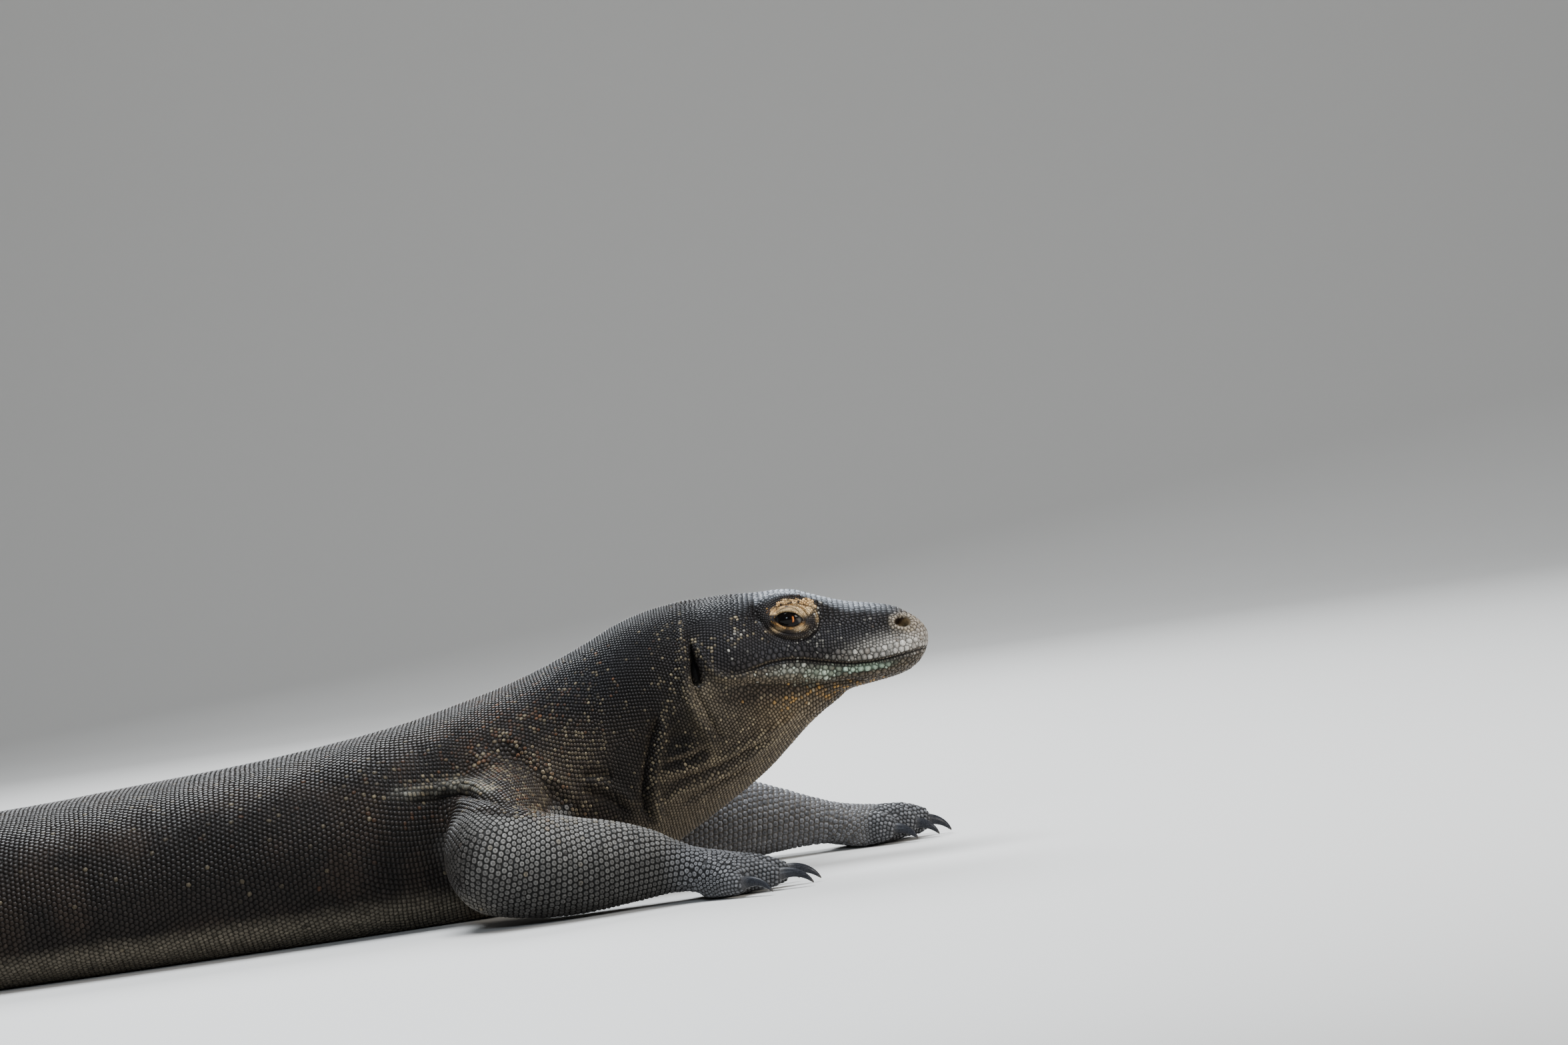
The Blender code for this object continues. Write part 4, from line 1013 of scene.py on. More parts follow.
def eye_tones(points, tones):
    """An ochre brow with straight edges above each eye, a pale rim on each lid, pale patches below."""
    x, y, z = points.T
    eye = np.abs(y) > 0.018
    along, above = eye_offsets(x, z)
    ring = np.hypot(along, above)
    wave = 0.0016 * (cloud(points, 0.0026, 24) - 0.5)
    top_edge = np.interp(x, *np.array(BROW_TOP).T)
    front_edge = np.interp(x, *np.array(BROW_FRONT).T)
    brow = smooth(top_edge - z + wave, -0.0011, -0.0003) * smooth(z + wave - front_edge, -0.0003, 0.0005)
    ends = smooth(x + wave, 0.2566, 0.2580) * smooth(-x, -0.2922, -0.2912)
    brow *= ends * smooth(above, 0.45, 0.70) * eye
    brow *= smooth(cloud(points, 0.0017, 21), 0.18, 0.34)
    tones = mix(tones, ORBIT, smooth(-ring, -2.7, -1.8) * eye * (1 - brow) * 0.85)
    tones = mix(tones, mix(OCHRE, PALE_OCHRE, cloud(points, 0.0030, 22)), brow * 0.97)
    lid_line = np.exp(-(((ring - 1.72) / 0.07) ** 2)) * smooth(above, 0.5, 1.0)
    tones = mix(tones, LID_LINE, lid_line * eye * 0.75)
    rim = smooth(-ring, -1.55 + 0.22 * (above < 0), -1.38 + 0.17 * (above < 0)) * eye
    rim = rim * smooth(-np.abs(along), -1.40, -1.05)
    rim *= 0.25 + 0.75 * smooth(cloud(points, 0.0028, 23), 0.30, 0.55)
    tones = mix(tones, PALE_OCHRE * 0.46, rim * smooth(above, 0.15, 0.45) * smooth(along, -1.1, -0.5))
    tones = mix(tones, OCHRE * 0.60, rim * smooth(-above, 0.10, 0.40))
    for middle, radii, strength in EYE_PATCHES:
        tones = mix(tones, PALE_OCHRE * 0.75, blob(x, z, middle, radii) * strength * eye)
    return tones


def nostril_tones(points, tones):
    """Tan inside each nostril, darker behind and above as painted shade, with a pale rim."""
    x, y, z = points.T
    out = np.abs(y)
    oval = nostril_ring(x, z)
    tones = mix(tones, NOSTRIL_EDGE, smooth(-oval, -2.1, -1.4) * (out > 0.008) * 0.8)
    pit = smooth(-oval, -1.15, -0.80) * (out > 0.004)
    painted_shade = smooth(z - 0.8 * (x - NOSTRIL[0]), NOSTRIL[1] - 0.0010, NOSTRIL[1] + 0.0026)
    return mix(tones, mix(NOSTRIL_FLOOR, NOSTRIL_SHADE, painted_shade), pit)


def hide_tones(points, facing):
    """The scales' colour at these places, and the darker colour of the skin between them."""
    tones, near_leg, far_leg = leg_tones(points, trunk_tones(points, facing))
    tones = nostril_tones(points, eye_tones(points, tones))
    between = tones * 0.30
    between = mix(between, tones * 0.16, near_leg)
    between = mix(between, FAR_SKIN, far_leg * 0.7)
    # Painted shade in deep folds, on the scales and on the skin between them.
    for line, half_width, dark in SHADED_LINES:
        distance, _ = off_line(points, line)
        painted_shade = np.exp(-((distance / half_width) ** 2)) * dark
        painted_shade = painted_shade * (np.abs(facing[:, 1]) > 0.25) * off_arms(points)
        tones, between = mix(tones, CREASE_SHADE, painted_shade), mix(between, SHADE, painted_shade)
    return tones, between


def mesh_object(name, points, faces):
    """An object at the origin from an array of points and faces all of one size, smooth shaded."""
    mesh = bpy.data.meshes.new(name)
    faces = np.asarray(faces, np.int32)
    count = faces.shape[1]
    mesh.vertices.add(len(points))
    mesh.vertices.foreach_set("co", np.asarray(points, np.float32).ravel())
    mesh.loops.add(faces.size)
    mesh.loops.foreach_set("vertex_index", faces.ravel())
    mesh.polygons.add(len(faces))
    mesh.polygons.foreach_set("loop_start", np.arange(len(faces), dtype=np.int32) * count)
    mesh.update(calc_edges=True)
    mesh.shade_smooth()
    made = bpy.data.objects.new(name, mesh)
    bpy.context.scene.collection.objects.link(made)
    return made


def paint(made, tones):
    """Stores one colour per point as the attribute tone."""
    layer = made.data.color_attributes.new("tone", "FLOAT_COLOR", "POINT")
    rgba = np.ones((len(tones), 4), np.float32)
    rgba[:, :3] = tones
    layer.data.foreach_set("color", rgba.ravel())


def hide_material(name, roughness, bump_size, bump):
    """Dry horn and skin: the painted tone, broken up by fine grain, with a waxy gloss and a fine bump."""
    made = bpy.data.materials.new(name)
    made.use_nodes = True
    nodes, links = made.node_tree.nodes, made.node_tree.links
    shader = nodes["Principled BSDF"]
    tone = nodes.new("ShaderNodeAttribute")
    tone.attribute_name = "tone"
    where = nodes.new("ShaderNodeTexCoord")
    grain = nodes.new("ShaderNodeTexNoise")
    grain.inputs["Scale"].default_value = 900.0
    grain.inputs["Detail"].default_value = 4.0
    links.new(where.outputs["Object"], grain.inputs["Vector"])
    spread = nodes.new("ShaderNodeMapRange")
    spread.inputs["From Min"].default_value, spread.inputs["From Max"].default_value = 0.3, 0.7
    spread.inputs["To Min"].default_value, spread.inputs["To Max"].default_value = 0.72, 1.28
    links.new(grain.outputs["Fac"], spread.inputs["Value"])
    shade = nodes.new("ShaderNodeVectorMath")
    shade.operation = "SCALE"
    links.new(tone.outputs["Color"], shade.inputs[0])
    links.new(spread.outputs["Result"], shade.inputs["Scale"])
    links.new(shade.outputs["Vector"], shader.inputs["Base Color"])
    gloss = nodes.new("ShaderNodeMapRange")
    gloss.inputs["To Min"].default_value = roughness - 0.07
    gloss.inputs["To Max"].default_value = roughness + 0.10
    links.new(grain.outputs["Fac"], gloss.inputs["Value"])
    links.new(gloss.outputs["Result"], shader.inputs["Roughness"])
    pits = nodes.new("ShaderNodeTexNoise")
    pits.inputs["Scale"].default_value = 1 / bump_size
    pits.inputs["Detail"].default_value = 3.0
    links.new(where.outputs["Object"], pits.inputs["Vector"])
    lift = nodes.new("ShaderNodeBump")
    lift.inputs["Strength"].default_value = bump
    lift.inputs["Distance"].default_value = 0.0003
    links.new(pits.outputs["Fac"], lift.inputs["Height"])
    links.new(lift.outputs["Normal"], shader.inputs["Normal"])
    shader.inputs["Specular IOR Level"].default_value = 0.12
    return made


SIDES = ("right", "left")
FLESH = "head lower_jaw neck chest belly pelvis tail_root tail_middle tail_rear tail_tip".split()
FLESH += [f"{part}_{side}" for part in "upper_arm forearm hand thigh shank foot".split() for side in SIDES]
HIDE_TRIANGLES = 180000

whole = mesh_object("hide_whole", form, faces)
thin = modified(whole.data, "DECIMATE", ratio=HIDE_TRIANGLES / len(faces))
bpy.data.objects.remove(whole)
skin_points, skin_faces = arrays_of(thin, 3)
bpy.data.meshes.remove(thin)
_, skin_between = hide_tones(skin_points, normals_of(skin_points, skin_faces))

skin_finish = hide_material("hide_skin", 0.62, 0.0009, 0.8)
hide = mesh_object("hide", skin_points + (AHEAD, 0, 0), skin_faces)
paint(hide, skin_between)
hide.data.materials.append(skin_finish)
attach(hide, "root")
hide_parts(*FLESH)

# ----------------------------------------------------------
# The eyelids: one soft ring of skin round each eye, cast in one with the hide. It runs from behind its
# edge on the eyeball, over a thick beaded rim and a crease, out to where it meets the hide.
# ----------------------------------------------------------
LID_TURNS, LID_ROWS, LID_REACH = 96, 30, 0.0085
LID_FIRST = (-0.0006, -0.0004, -0.0001, 0.0003, 0.0007, 0.0011)  # how far out the first rows lie
# How far out of the opening, and how far the lid stands off the eyeball there.
LID_LIFT = (
    (-0.0006, -0.0004), (-0.0001, 0.0006), (0.0005, 0.0013), (0.0011, 0.0016),
    (0.0017, 0.0012), (0.0022, 0.0005), (0.0030, 0.0011), (0.0050, 0.0012),
)
LID_BLEND = 0.0012  # how softly the lid passes from the eyeball's curve to the hide's
LID_CREASES, CREASE_DEPTH = 0.0017, 0.00045  # from one crease to the next


def cast_in(x, z, side, surface):
    """Where lines level with (x, z) that come in from one side first meet a surface."""
    found = np.full((len(x), 3), np.nan)
    for k, (a, b) in enumerate(zip(x, z)):
        place, _, _, _ = surface.ray_cast((a, side * 0.12, b), (0, -side, 0), 0.13)
        if place:
            found[k] = place
    return found


def opening_edge(turn, out):
    """The eye's opening seen from the side, widened by out: an almond that leans down towards the snout."""
    long, tall = EYE_OPENING[0] + out, EYE_OPENING[1] + out
    point = 1 - 0.22 * np.abs(np.cos(turn)) ** 6
    x = EYE[0] + long * np.cos(turn)
    return x, EYE[2] - EYE_LEAN * long * np.cos(turn) + tall * np.sin(turn) * point


def lid_surface(side, surface):
    """The lid's grid: rows outwards from the eyeball, columns round the opening.

    Each row stands as far out as the eyeball's circle or the hide, whichever is farther, blended softly.
    """
    turn = np.arange(LID_TURNS) * 2 * math.pi / LID_TURNS
    outward = np.concatenate([LID_FIRST, np.linspace(0.0015, LID_REACH, LID_ROWS - len(LID_FIRST))])
    lifts = np.interp(outward, *np.array(LID_LIFT).T)
    rows = []
    for out, lift in zip(outward, lifts):
        x, z = opening_edge(turn, out)
        level = np.abs(cast_in(*opening_edge(turn, max(out, 0.0050)), side, surface)[:, 1])
        off = np.hypot(x - EYE[0], (z - EYE[2]) / EYE_TALL)
        upper = smooth(np.sin(turn), -0.25, 0.35)
        ball = (EYE_RADIUS + lift * (0.8 + 0.4 * upper)) ** 2 - off**2
        ball = EYE[1] + np.sqrt(np.maximum(ball, 1e-8))
        ease = smooth(out, 0.0010, LID_REACH * 0.9)
        cover = LID_BLEND * np.logaddexp(ball / LID_BLEND, level / LID_BLEND)
        cover = ball + (cover - ball) * smooth(out, -0.0003, 0.0013)
        creases = CREASE_DEPTH * np.sin(out / LID_CREASES * 2 * math.pi) * smooth(out, 0.0022, 0.0035)
        sink = 0.0009 * smooth(out, 0.0060, LID_REACH)
        y = cover * (1 - ease) + (level + 0.0002) * ease + creases * (1 - ease) - sink
        rows.append(np.stack([x, side * y, z], 1))
    return np.array(rows)


form_surface = BVHTree.FromPolygons(form.tolist(), faces.tolist())
lid_points, lid_faces = [], []
for side in (-1, 1):
    rows = lid_surface(side, form_surface)
    quads = grid_faces(*rows.shape[:2])
    base = sum(len(p) for p in lid_points)
    lid_points.append(rows.reshape(-1, 3))
    lid_faces.append((quads if side == 1 else quads[:, ::-1]) + base)
lid_points, lid_faces = np.concatenate(lid_points), np.concatenate(lid_faces)
lid_normals = normals_of(lid_points, lid_faces)
if lid_normals[: len(lid_points) // 2, 1].mean() > 0:
    lid_faces, lid_normals = lid_faces[:, ::-1], -lid_normals

lids = mesh_object("eyelids", lid_points + (AHEAD, 0, 0), lid_faces)
lid_tones, _ = hide_tones(lid_points, lid_normals)
paint(lids, lid_tones * 0.7)
lids.data.materials.append(skin_finish)
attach(lids, "root")

# ----------------------------------------------------------
# The eyes: a dark eyeball of polished glass, wet to look at, set in each socket behind the lids. The iris
# is a brown ring with a gold rim, painted only as an orange arc ahead of the pupil where light falls on it:
# painted light, with the rest of the rim left dark as painted shade. The white shows as a dark grey corner.
# ----------------------------------------------------------
EYE_ROUND, EYE_DOWN = 128, 80
PUPIL_SPOT = (-0.0022, 0.0002)  # off the eyeball's middle: ahead and above
PUPIL, IRIS, LIT_IRIS_ARC = colour(0.003, 0.0025, 0.0025), colour(0.005, 0.0035, 0.003), colour(0.85, 0.26, 0.06)
LOWER_CORNER, FRONT_CORNER = colour(0.090, 0.078, 0.066), colour(0.07, 0.07, 0.07)
REAR_CORNER = colour(0.03, 0.028, 0.028)


def in_triangles(quads, fans):
    """Each quad as two triangles, and then the fans."""
    return np.concatenate([quads[:, [0, 1, 2]], quads[:, [0, 2, 3]], fans])


def eyeball_tones(x, z):
    """The eyeball's colours by where it is seen from the side, ahead of its middle and above it."""
    from_pupil = np.hypot(x - PUPIL_SPOT[0], z - PUPIL_SPOT[1])
    tones = np.tile(PUPIL, (len(x), 1))
    tones = mix(tones, IRIS, smooth(from_pupil, 0.0036, 0.0046) * smooth(-from_pupil, -0.0066, -0.0052))
    # The iris's gold rim, painted only ahead of the pupil where light falls on it: painted light.
    lit_arc = np.exp(-(((x - 0.0034 + z * z * 60) / 0.00036) ** 2))
    tones = mix(tones, LIT_IRIS_ARC, lit_arc * smooth(-np.abs(z + 0.0002), -0.0025, -0.0015))
    corner = smooth(x + 0.6 * z, 0.0050, 0.0064) * smooth(-z, -0.0006, 0.0006)
    tones = mix(tones, LOWER_CORNER, corner * 0.7)
    tones = mix(tones, FRONT_CORNER, smooth(x, 0.0066, 0.0085) * 0.6)
    return mix(tones, REAR_CORNER, smooth(-x, 0.0070, 0.0090))


def wet_eye(name):
    """Glass over paint: the painted tone under a near mirror."""
    made = bpy.data.materials.new(name)
    made.use_nodes = True
    nodes, links = made.node_tree.nodes, made.node_tree.links
    shader = nodes["Principled BSDF"]
    tone = nodes.new("ShaderNodeAttribute")
    tone.attribute_name = "tone"
    links.new(tone.outputs["Color"], shader.inputs["Base Color"])
    shader.inputs["Roughness"].default_value = 0.04
    shader.inputs["Specular IOR Level"].default_value = 0.11
    return made


turn = np.arange(EYE_ROUND) * 2 * math.pi / EYE_ROUND
drop = np.linspace(0, math.pi, EYE_DOWN + 1)[1:-1, None]
sphere = (np.sin(drop) * np.cos(turn), np.sin(drop) * np.sin(turn), np.cos(drop) * np.ones(EYE_ROUND))
ball, quads, fans = capped(np.stack(sphere, 2), ends=[(0, 0, 1), (0, 0, -1)])
triangles = in_triangles(quads[:, ::-1], fans[:, [0, 2, 1]])
tones = eyeball_tones(ball[:, 0] * EYE_RADIUS, ball[:, 2] * EYE_RADIUS * EYE_TALL)
for side, name in ((-1, "right"), (1, "left")):
    centre = np.array((EYE[0], side * EYE[1], EYE[2]))
    points = ball * EYE_RADIUS * 0.995 * (1, 1, EYE_TALL) + centre + (AHEAD, 0, 0)
    made = mesh_object(f"eyeball_{name}", points, triangles)
    paint(made, tones)
    made.data.materials.append(wet_eye(f"wet_eye_{name}"))
    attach(made, "root")
    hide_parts(f"eye_{name}")

# ----------------------------------------------------------
# The scales: domed plates of horn, each rooted in the hide and filling the room that its neighbours leave
# it. They are small and long on the crown, round on the cheeks, ringed or cupped on the forelegs, and in
# even rows on the trunk and the tail; lips, lids and nostrils have rows of their own.
# ----------------------------------------------------------
CHANCE = np.random.default_rng(11)
# Rings of granules round the eye, the rim's beads first: off the opening's edge, apart, order.
EYE_RINGS = (
    (0.0008, 0.0009, 0), (0.0020, 0.0011, 1), (0.0031, 0.0012, 1), (0.0043, 0.0013, 2),
    (0.0056, 0.0014, 2), (0.0070, 0.0015, 3), (0.0085, 0.0016, 3), (0.0101, 0.0018, 4),
    (0.0119, 0.0020, 5), (0.0139, 0.0021, 6),
)
# Rows along the lips, small scales on each edge first: above the mouth's line, apart, width.
LIP_ROWS = (
    (0.0013, 0.0026, 0.0018), (-0.0013, 0.0026, 0.0018), (0.0042, 0.0048, 0.0044),
    (-0.0042, 0.0052, 0.0038), (0.0086, 0.0048, 0.0042), (-0.0080, 0.0054, 0.0038),
    (-0.0118, 0.0054, 0.0038),
)
LIP_START = 0.0225  # how far along the mouth's line the rows start
NOSTRIL_RINGS = ((0.0014, 0.0022, 1), (0.0037, 0.0027, 3))  # off its edge, apart, order
# The snout's blunt end: the height of each row of scales, how far apart they stand and where.
SNOUT_ROWS = (0.1332, 0.1368, 0.1404, 0.1436, 0.1520, 0.1556, 0.1590, 0.1624, 0.1656, 0.1690)
SNOUT_APART, SNOUT_END = 0.0036, 0.364
COAT_TURNS = np.arange(256) * 2 * math.pi / 256
NECK_END = 6.0  # the slice where the neck's rows end and the trunk's begin
BARE_REACH = 0.72  # how many scales' lengths off the nearest root the hide counts as bare
LARGEST_FILL = 0.0036

whole_points = np.concatenate([form, lid_points])
lid_triangles = np.concatenate([lid_faces[:, [0, 1, 2]], lid_faces[:, [0, 2, 3]]]) + len(form)
whole_faces = np.concatenate([faces, lid_triangles])
whole_normals = np.concatenate([normals, lid_normals])
surface = BVHTree.FromPolygons(whole_points.tolist(), whole_faces.tolist())


class Roots:
    """Every scale's root: its place, the way the hide faces, the way it lies, its size, strip and order."""

    def __init__(self):
        self.place, self.facing, self.lie = [], [], []
        self.size, self.strip, self.order = [], [], []
        self.strips = 0

    def cast(self, start, towards, outline, reach, lie, size, ring, number, order):
        """Adds a root wherever a line from start meets the hide near the outline's point."""
        keep, place, facing = [], [], []
        for k in range(len(start)):
            hit, _, face, _ = surface.ray_cast(start[k].tolist(), towards[k].tolist(), 0.4)
            if hit is None or sum((hit[axis] - outline[k, axis]) ** 2 for axis in range(3)) > reach**2:
                continue
            keep.append(k)
            place.append(hit)
            facing.append(whole_normals[whole_faces[face]].sum(0))
        if not keep:
            return
        self.place.append(np.array(place))
        self.facing.append(unit(np.array(facing)))
        self.lie.append(lie[keep])
        self.size.append(np.broadcast_to(size, (len(start), 2))[keep])
        self.strip.append(np.stack([np.full(len(keep), self.strips), ring[keep], number[keep]], 1))
        self.order.append(np.full(len(keep), order))
        self.strips += 1

    def joined(self):
        parts = (self.place, self.facing, self.lie, self.size, self.strip, self.order)
        return [np.concatenate(part) for part in parts]


roots = Roots()


def along_grid(grid, ring, column):
    """Points of a grid of rings at fractional rings and columns."""
    count = grid.shape[1]
    r = np.clip(np.floor(ring).astype(int), 0, len(grid) - 2)
    u = (ring - r)[:, None]
    c = np.floor(column).astype(int)
    v = (column - c)[:, None]
    c, d = c % count, (c + 1) % count
    low = grid[r, c] * (1 - v) + grid[r, d] * v
    high = grid[r + 1, c] * (1 - v) + grid[r + 1, d] * v
    return low * (1 - u) + high * u


def lengthwise(rings, ring, column, half):
    """The step along a tube over half a span of rings behind each place and half ahead."""
    ahead = along_grid(rings, np.minimum(ring + half, len(rings) - 1.001), column)
    return ahead - along_grid(rings, np.maximum(ring - half, 0), column)


def evenly(rings, column, spacing):
    """Fractional rings a spacing apart along one column, or along the longer side of a bend for None."""
    line = rings[:, column or 0]
    step = np.linalg.norm(np.diff(rings, axis=0), axis=2)
    step = np.quantile(step, 0.75, axis=1) if column is None else step[:, column]
    step = step / spacing((line[1:] + line[:-1]) / 2)
    gone = gone_after(step)
    return np.interp(np.arange(0.5, gone[-1], 1.0), gone, np.arange(len(line)))


def ring_places(rings, place, number, around, window):
    """One row's places, from the back down each side: (ring, column, row's number, steps, width)."""
    half = rings.shape[1] // 2
    share = np.linspace(0, 1, half + 1)
    offset = 0.5 * (number % 2)
    for way in (1, -1):
        columns = (way * np.arange(half + 1)).astype(float)
        line = along_grid(rings, np.full(half + 1, place), columns)
        step = np.linalg.norm(np.diff(line, axis=0), axis=1)
        width = around((share[1:] + share[:-1]) / 2, (line[1:] + line[:-1]) / 2)
        gone = gone_after(step / width)
        steps = np.arange(offset if offset or way > 0 else 1.0, gone[-1] - 0.3, 1.0)
        at = np.interp(steps, gone, np.arange(half + 1))
        size = around(at / half, along_grid(rings, np.full(len(at), place), way * at))
        ring, row = np.full(len(at), place), np.full(len(at), number)
        inside = (at / half >= window[0]) & (at / half <= window[1])
        yield np.stack([ring, way * at, row, way * steps, size], 1)[inside]


def scale_rows(rings, spacing, around, order, reach, column=None, window=(0.0, 1.0), wander=0.0):
    """Roots on a tube of rings, spacing(place) apart along it and around(share, place) round it.

    The share is 0 at the back and 1 below. Places wander by soft random values and a little chance.
    """
    places = evenly(rings, column, spacing)
    found = []
    for number, place in enumerate(places):
        found += ring_places(rings, place, number, around, window)
    ring, column_at, row, steps, width = np.concatenate(found).T
    outline = along_grid(rings, ring, column_at)
    gap = spacing(outline)
    per_ring = np.linalg.norm(lengthwise(rings, ring, column_at, 0.5), axis=1)
    drift = wander * (cloud(outline, 0.045, 7) - 0.5) * 2 + CHANCE.normal(0, 0.06, len(ring))
    ring = np.clip(ring + drift * gap / np.maximum(per_ring, 1e-5), 0, len(rings) - 1.001)
    across = along_grid(rings, ring, column_at + 0.5) - along_grid(rings, ring, column_at - 0.5)
    drift = wander * (cloud(outline, 0.05, 8) - 0.5) + CHANCE.normal(0, 0.05, len(ring))
    column_at = column_at + drift * width / np.maximum(np.linalg.norm(across, axis=1), 1e-5)
    outline = along_grid(rings, ring, column_at)
    start = along_grid(np.repeat(rings.mean(1)[:, None], 2, 1), ring, np.zeros(len(ring)))
    lie = lengthwise(rings, ring, column_at, 0.6)
    size = np.stack([gap, width], 1)
    roots.cast(start, unit(outline - start), outline, reach, lie, size, row, steps, order)


def from_side(x, z, side, size, order, ring, number, lie=(-1.0, 0.0, 0.0)):
    """Roots where level lines from one side meet the hide."""
    hits = cast_in(x, z, side, surface)
    met = np.isfinite(hits[:, 0])
    start = np.stack([x, np.full(len(x), side * 0.12), z], 1)[met]
    towards = np.tile((0.0, -side, 0.0), (len(start), 1))
    lies, sizes = np.broadcast_to(lie, (len(x), 3))[met], np.broadcast_to(size, (len(x), 2))[met]
    roots.cast(start, towards, hits[met], 0.002, lies, sizes, ring[met], number[met], order)


def eye_rings(side):
    """Granules in rings round the eye."""
    turn = np.linspace(0, 2 * math.pi, 721)
    for off, apart, order in EYE_RINGS:
        x, z = opening_edge(turn, off)
        gone = gone_after(np.hypot(np.diff(x), np.diff(z)))
        count = int(gone[-1] / apart)
        steps = np.arange(count)
        at = np.interp((steps + CHANCE.uniform(0, 0.2, count)) * gone[-1] / count, gone, turn)
        x, z = opening_edge(at, off)
        lie = np.stack([-np.sin(at), np.zeros(count), np.cos(at) * 0.6], 1)
        ring = np.full(count, round(off * 1e4))
        from_side(x, z, side, (apart, apart), order, ring, steps - count / 2.0, lie)


def lip_rows(side):
    """Plates along the lips: rows at fixed distances off the mouth's line, square to it."""
    line = np.array(MOUTH_LINE)
    gone = gone_after(np.hypot(*np.diff(line, axis=0).T))
    for row, (off, apart, width) in enumerate(LIP_ROWS):
        steps = np.arange(LIP_START + (row // 2 % 2) * apart / 2, gone[-1], apart)
        steps = steps + CHANCE.normal(0, 0.0003, len(steps))
        here, ahead, behind = (
            np.stack([np.interp(steps + step, gone, level) for level in line.T], 1)
            for step in (0, 0.004, -0.004)
        )
        slope = unit(ahead - behind)
        x, z = here[:, 0] + slope[:, 1] * off, here[:, 1] - slope[:, 0] * off
        order = 2 if abs(off) < 0.002 else 3
        from_side(x, z, side, (apart, width), order, np.full(len(x), row), np.arange(len(x)) * 1.0)


def nostril_rings(side):
    """Rings of scales round a nostril."""
    for off, apart, order in NOSTRIL_RINGS:
        count = int(2 * math.pi * (0.0048 + off) / apart)
        turn = (np.arange(count) + 0.25) * 2 * math.pi / count
        x = NOSTRIL[0] + (NOSTRIL_HALF[0] + off) * np.cos(turn)
        z = NOSTRIL[1] + (NOSTRIL_HALF[1] + off) * np.sin(turn) - NOSTRIL_LEAN * (x - NOSTRIL[0])
        lie = np.stack([-np.sin(turn), np.zeros(count), np.cos(turn)], 1)
        from_side(x, z, side, (apart, apart * 0.9), order, np.full(count, round(off * 1e4)), turn * 4, lie)


def snout_rows():
    """Level rows over the snout's blunt end, from one side to the other."""
    steps, rows = np.arange(-5, 6), len(SNOUT_ROWS)
    y, z = np.meshgrid(steps * SNOUT_APART, np.array(SNOUT_ROWS))
    y = y + np.where(np.arange(rows)[:, None] % 2, SNOUT_APART / 2, 0.0)
    y, z = y.ravel(), z.ravel()
    start, outline = (np.stack([np.full(len(y), x), y, z], 1) for x in (0.42, SNOUT_END))
    towards, lie = (np.tile(way, (len(y), 1)) for way in ((-1.0, 0.0, 0.0), (0.0, 0.0, 1.0)))
    ring, number = np.repeat(np.arange(1.0 * rows), len(steps)), np.tile(1.0 * steps, rows)
    roots.cast(start, towards, outline, 0.011, lie, (SNOUT_APART, SNOUT_APART), ring, number, 4)


def even(size):
    """A spacing that is the same everywhere."""
    return lambda *where: np.full(len(where[-1]), size)


def cheek_rows(p):
    """Rows are 2.3 mm apart on the cheeks, and wider from the mouth down and back of the eyes."""
    return 0.0023 + 0.0004 * smooth(-p[:, 2], -0.165, -0.140) + 0.0002 * smooth(-p[:, 0], -0.25, -0.22)


def body_spacing(p):
    """Rows are 2.4 mm apart behind the head, 2.9 at the shoulder, 3.5 on the trunk and 5.8 on the tail."""
    x = p[:, 0]
    ahead = 0.0024 + 0.0005 * smooth(-x, -0.18, -0.08) + 0.0006 * smooth(-x, -0.03, 0.06)
    return ahead + 0.0005 * smooth(-x, 0.50, 0.60) + 0.0015 * smooth(-x, 0.70, 1.10)


def body_around(share, p):
    """Scales are 2.6 mm wide behind the head, 4.1 on the trunk's back and sides, and wide below."""
    x = p[:, 0]
    upper = 0.0026 + 0.0007 * smooth(-x, -0.18, -0.08) + 0.0008 * smooth(-x, -0.03, 0.06)
    upper = upper + 0.0003 * smooth(-x, 0.50, 0.60) + 0.0010 * smooth(-x, 0.70, 1.10)
    below = smooth(share, 0.76, 0.84) * smooth(-x, -0.10, -0.02)
    return upper + 0.0042 * below


for side in (-1, 1):
    eye_rings(side)
    lip_rows(side)
    nostril_rings(side)
snout_rows()
# The crown's scales are long and narrow; those of the cheeks are small, and the chin's rounder.
head_rings = slice_points(at_rows(HEAD_SLICES, np.linspace(0, 15, 240)), COAT_TURNS)
scale_rows(head_rings, even(0.0040), even(0.0026), 5, 0.010, column=20, window=(0.0, 0.33), wander=0.5)
scale_rows(
    head_rings, cheek_rows, lambda s, p: 0.0022 + 0.0008 * smooth(s, 0.6, 0.85), 6, 0.014,
    column=64, window=(0.30, 1.0), wander=0.4,
)
neck_rings = slice_points(at_rows(BODY_SLICES, np.linspace(0, NECK_END, 320)), COAT_TURNS)
body_rings = swayed(slice_points(at_rows(BODY_SLICES, np.linspace(NECK_END, BODY_END, 1250)), COAT_TURNS))
scale_rows(neck_rings, body_spacing, body_around, 8, 0.013, column=56, window=(0.0, 0.47), wander=0.9)
scale_rows(neck_rings, even(0.0025), even(0.0028), 8, 0.013, column=112, window=(0.475, 1.0), wander=0.9)
scale_rows(body_rings, body_spacing, body_around, 8, 0.013, column=72, wander=0.9)
for name, path in LEGS.items():
    apart = 0.0035 if "upper" in name else 0.0046 if "arm" in name else 0.0050
    scale_rows(tube_points(path, 160, 128), even(apart * 0.86), even(apart * 1.02), 7, 0.011, wander=0.5)
for path in PALMS.values():
    rings = tube_points(path, 60, 96, round_start=False)
    scale_rows(rings, even(0.0036), even(0.0036), 7, 0.008, column=20, wander=0.3)
for path, _, _ in DIGITS.values():
    rings = tube_points(path, 60, 64, round_start=False, blunt=0.45)
    scale_rows(rings, even(0.0030), lambda s, p: 0.0046 - 0.0014 * smooth(s, 0.2, 0.4), 6, 0.006, column=12)


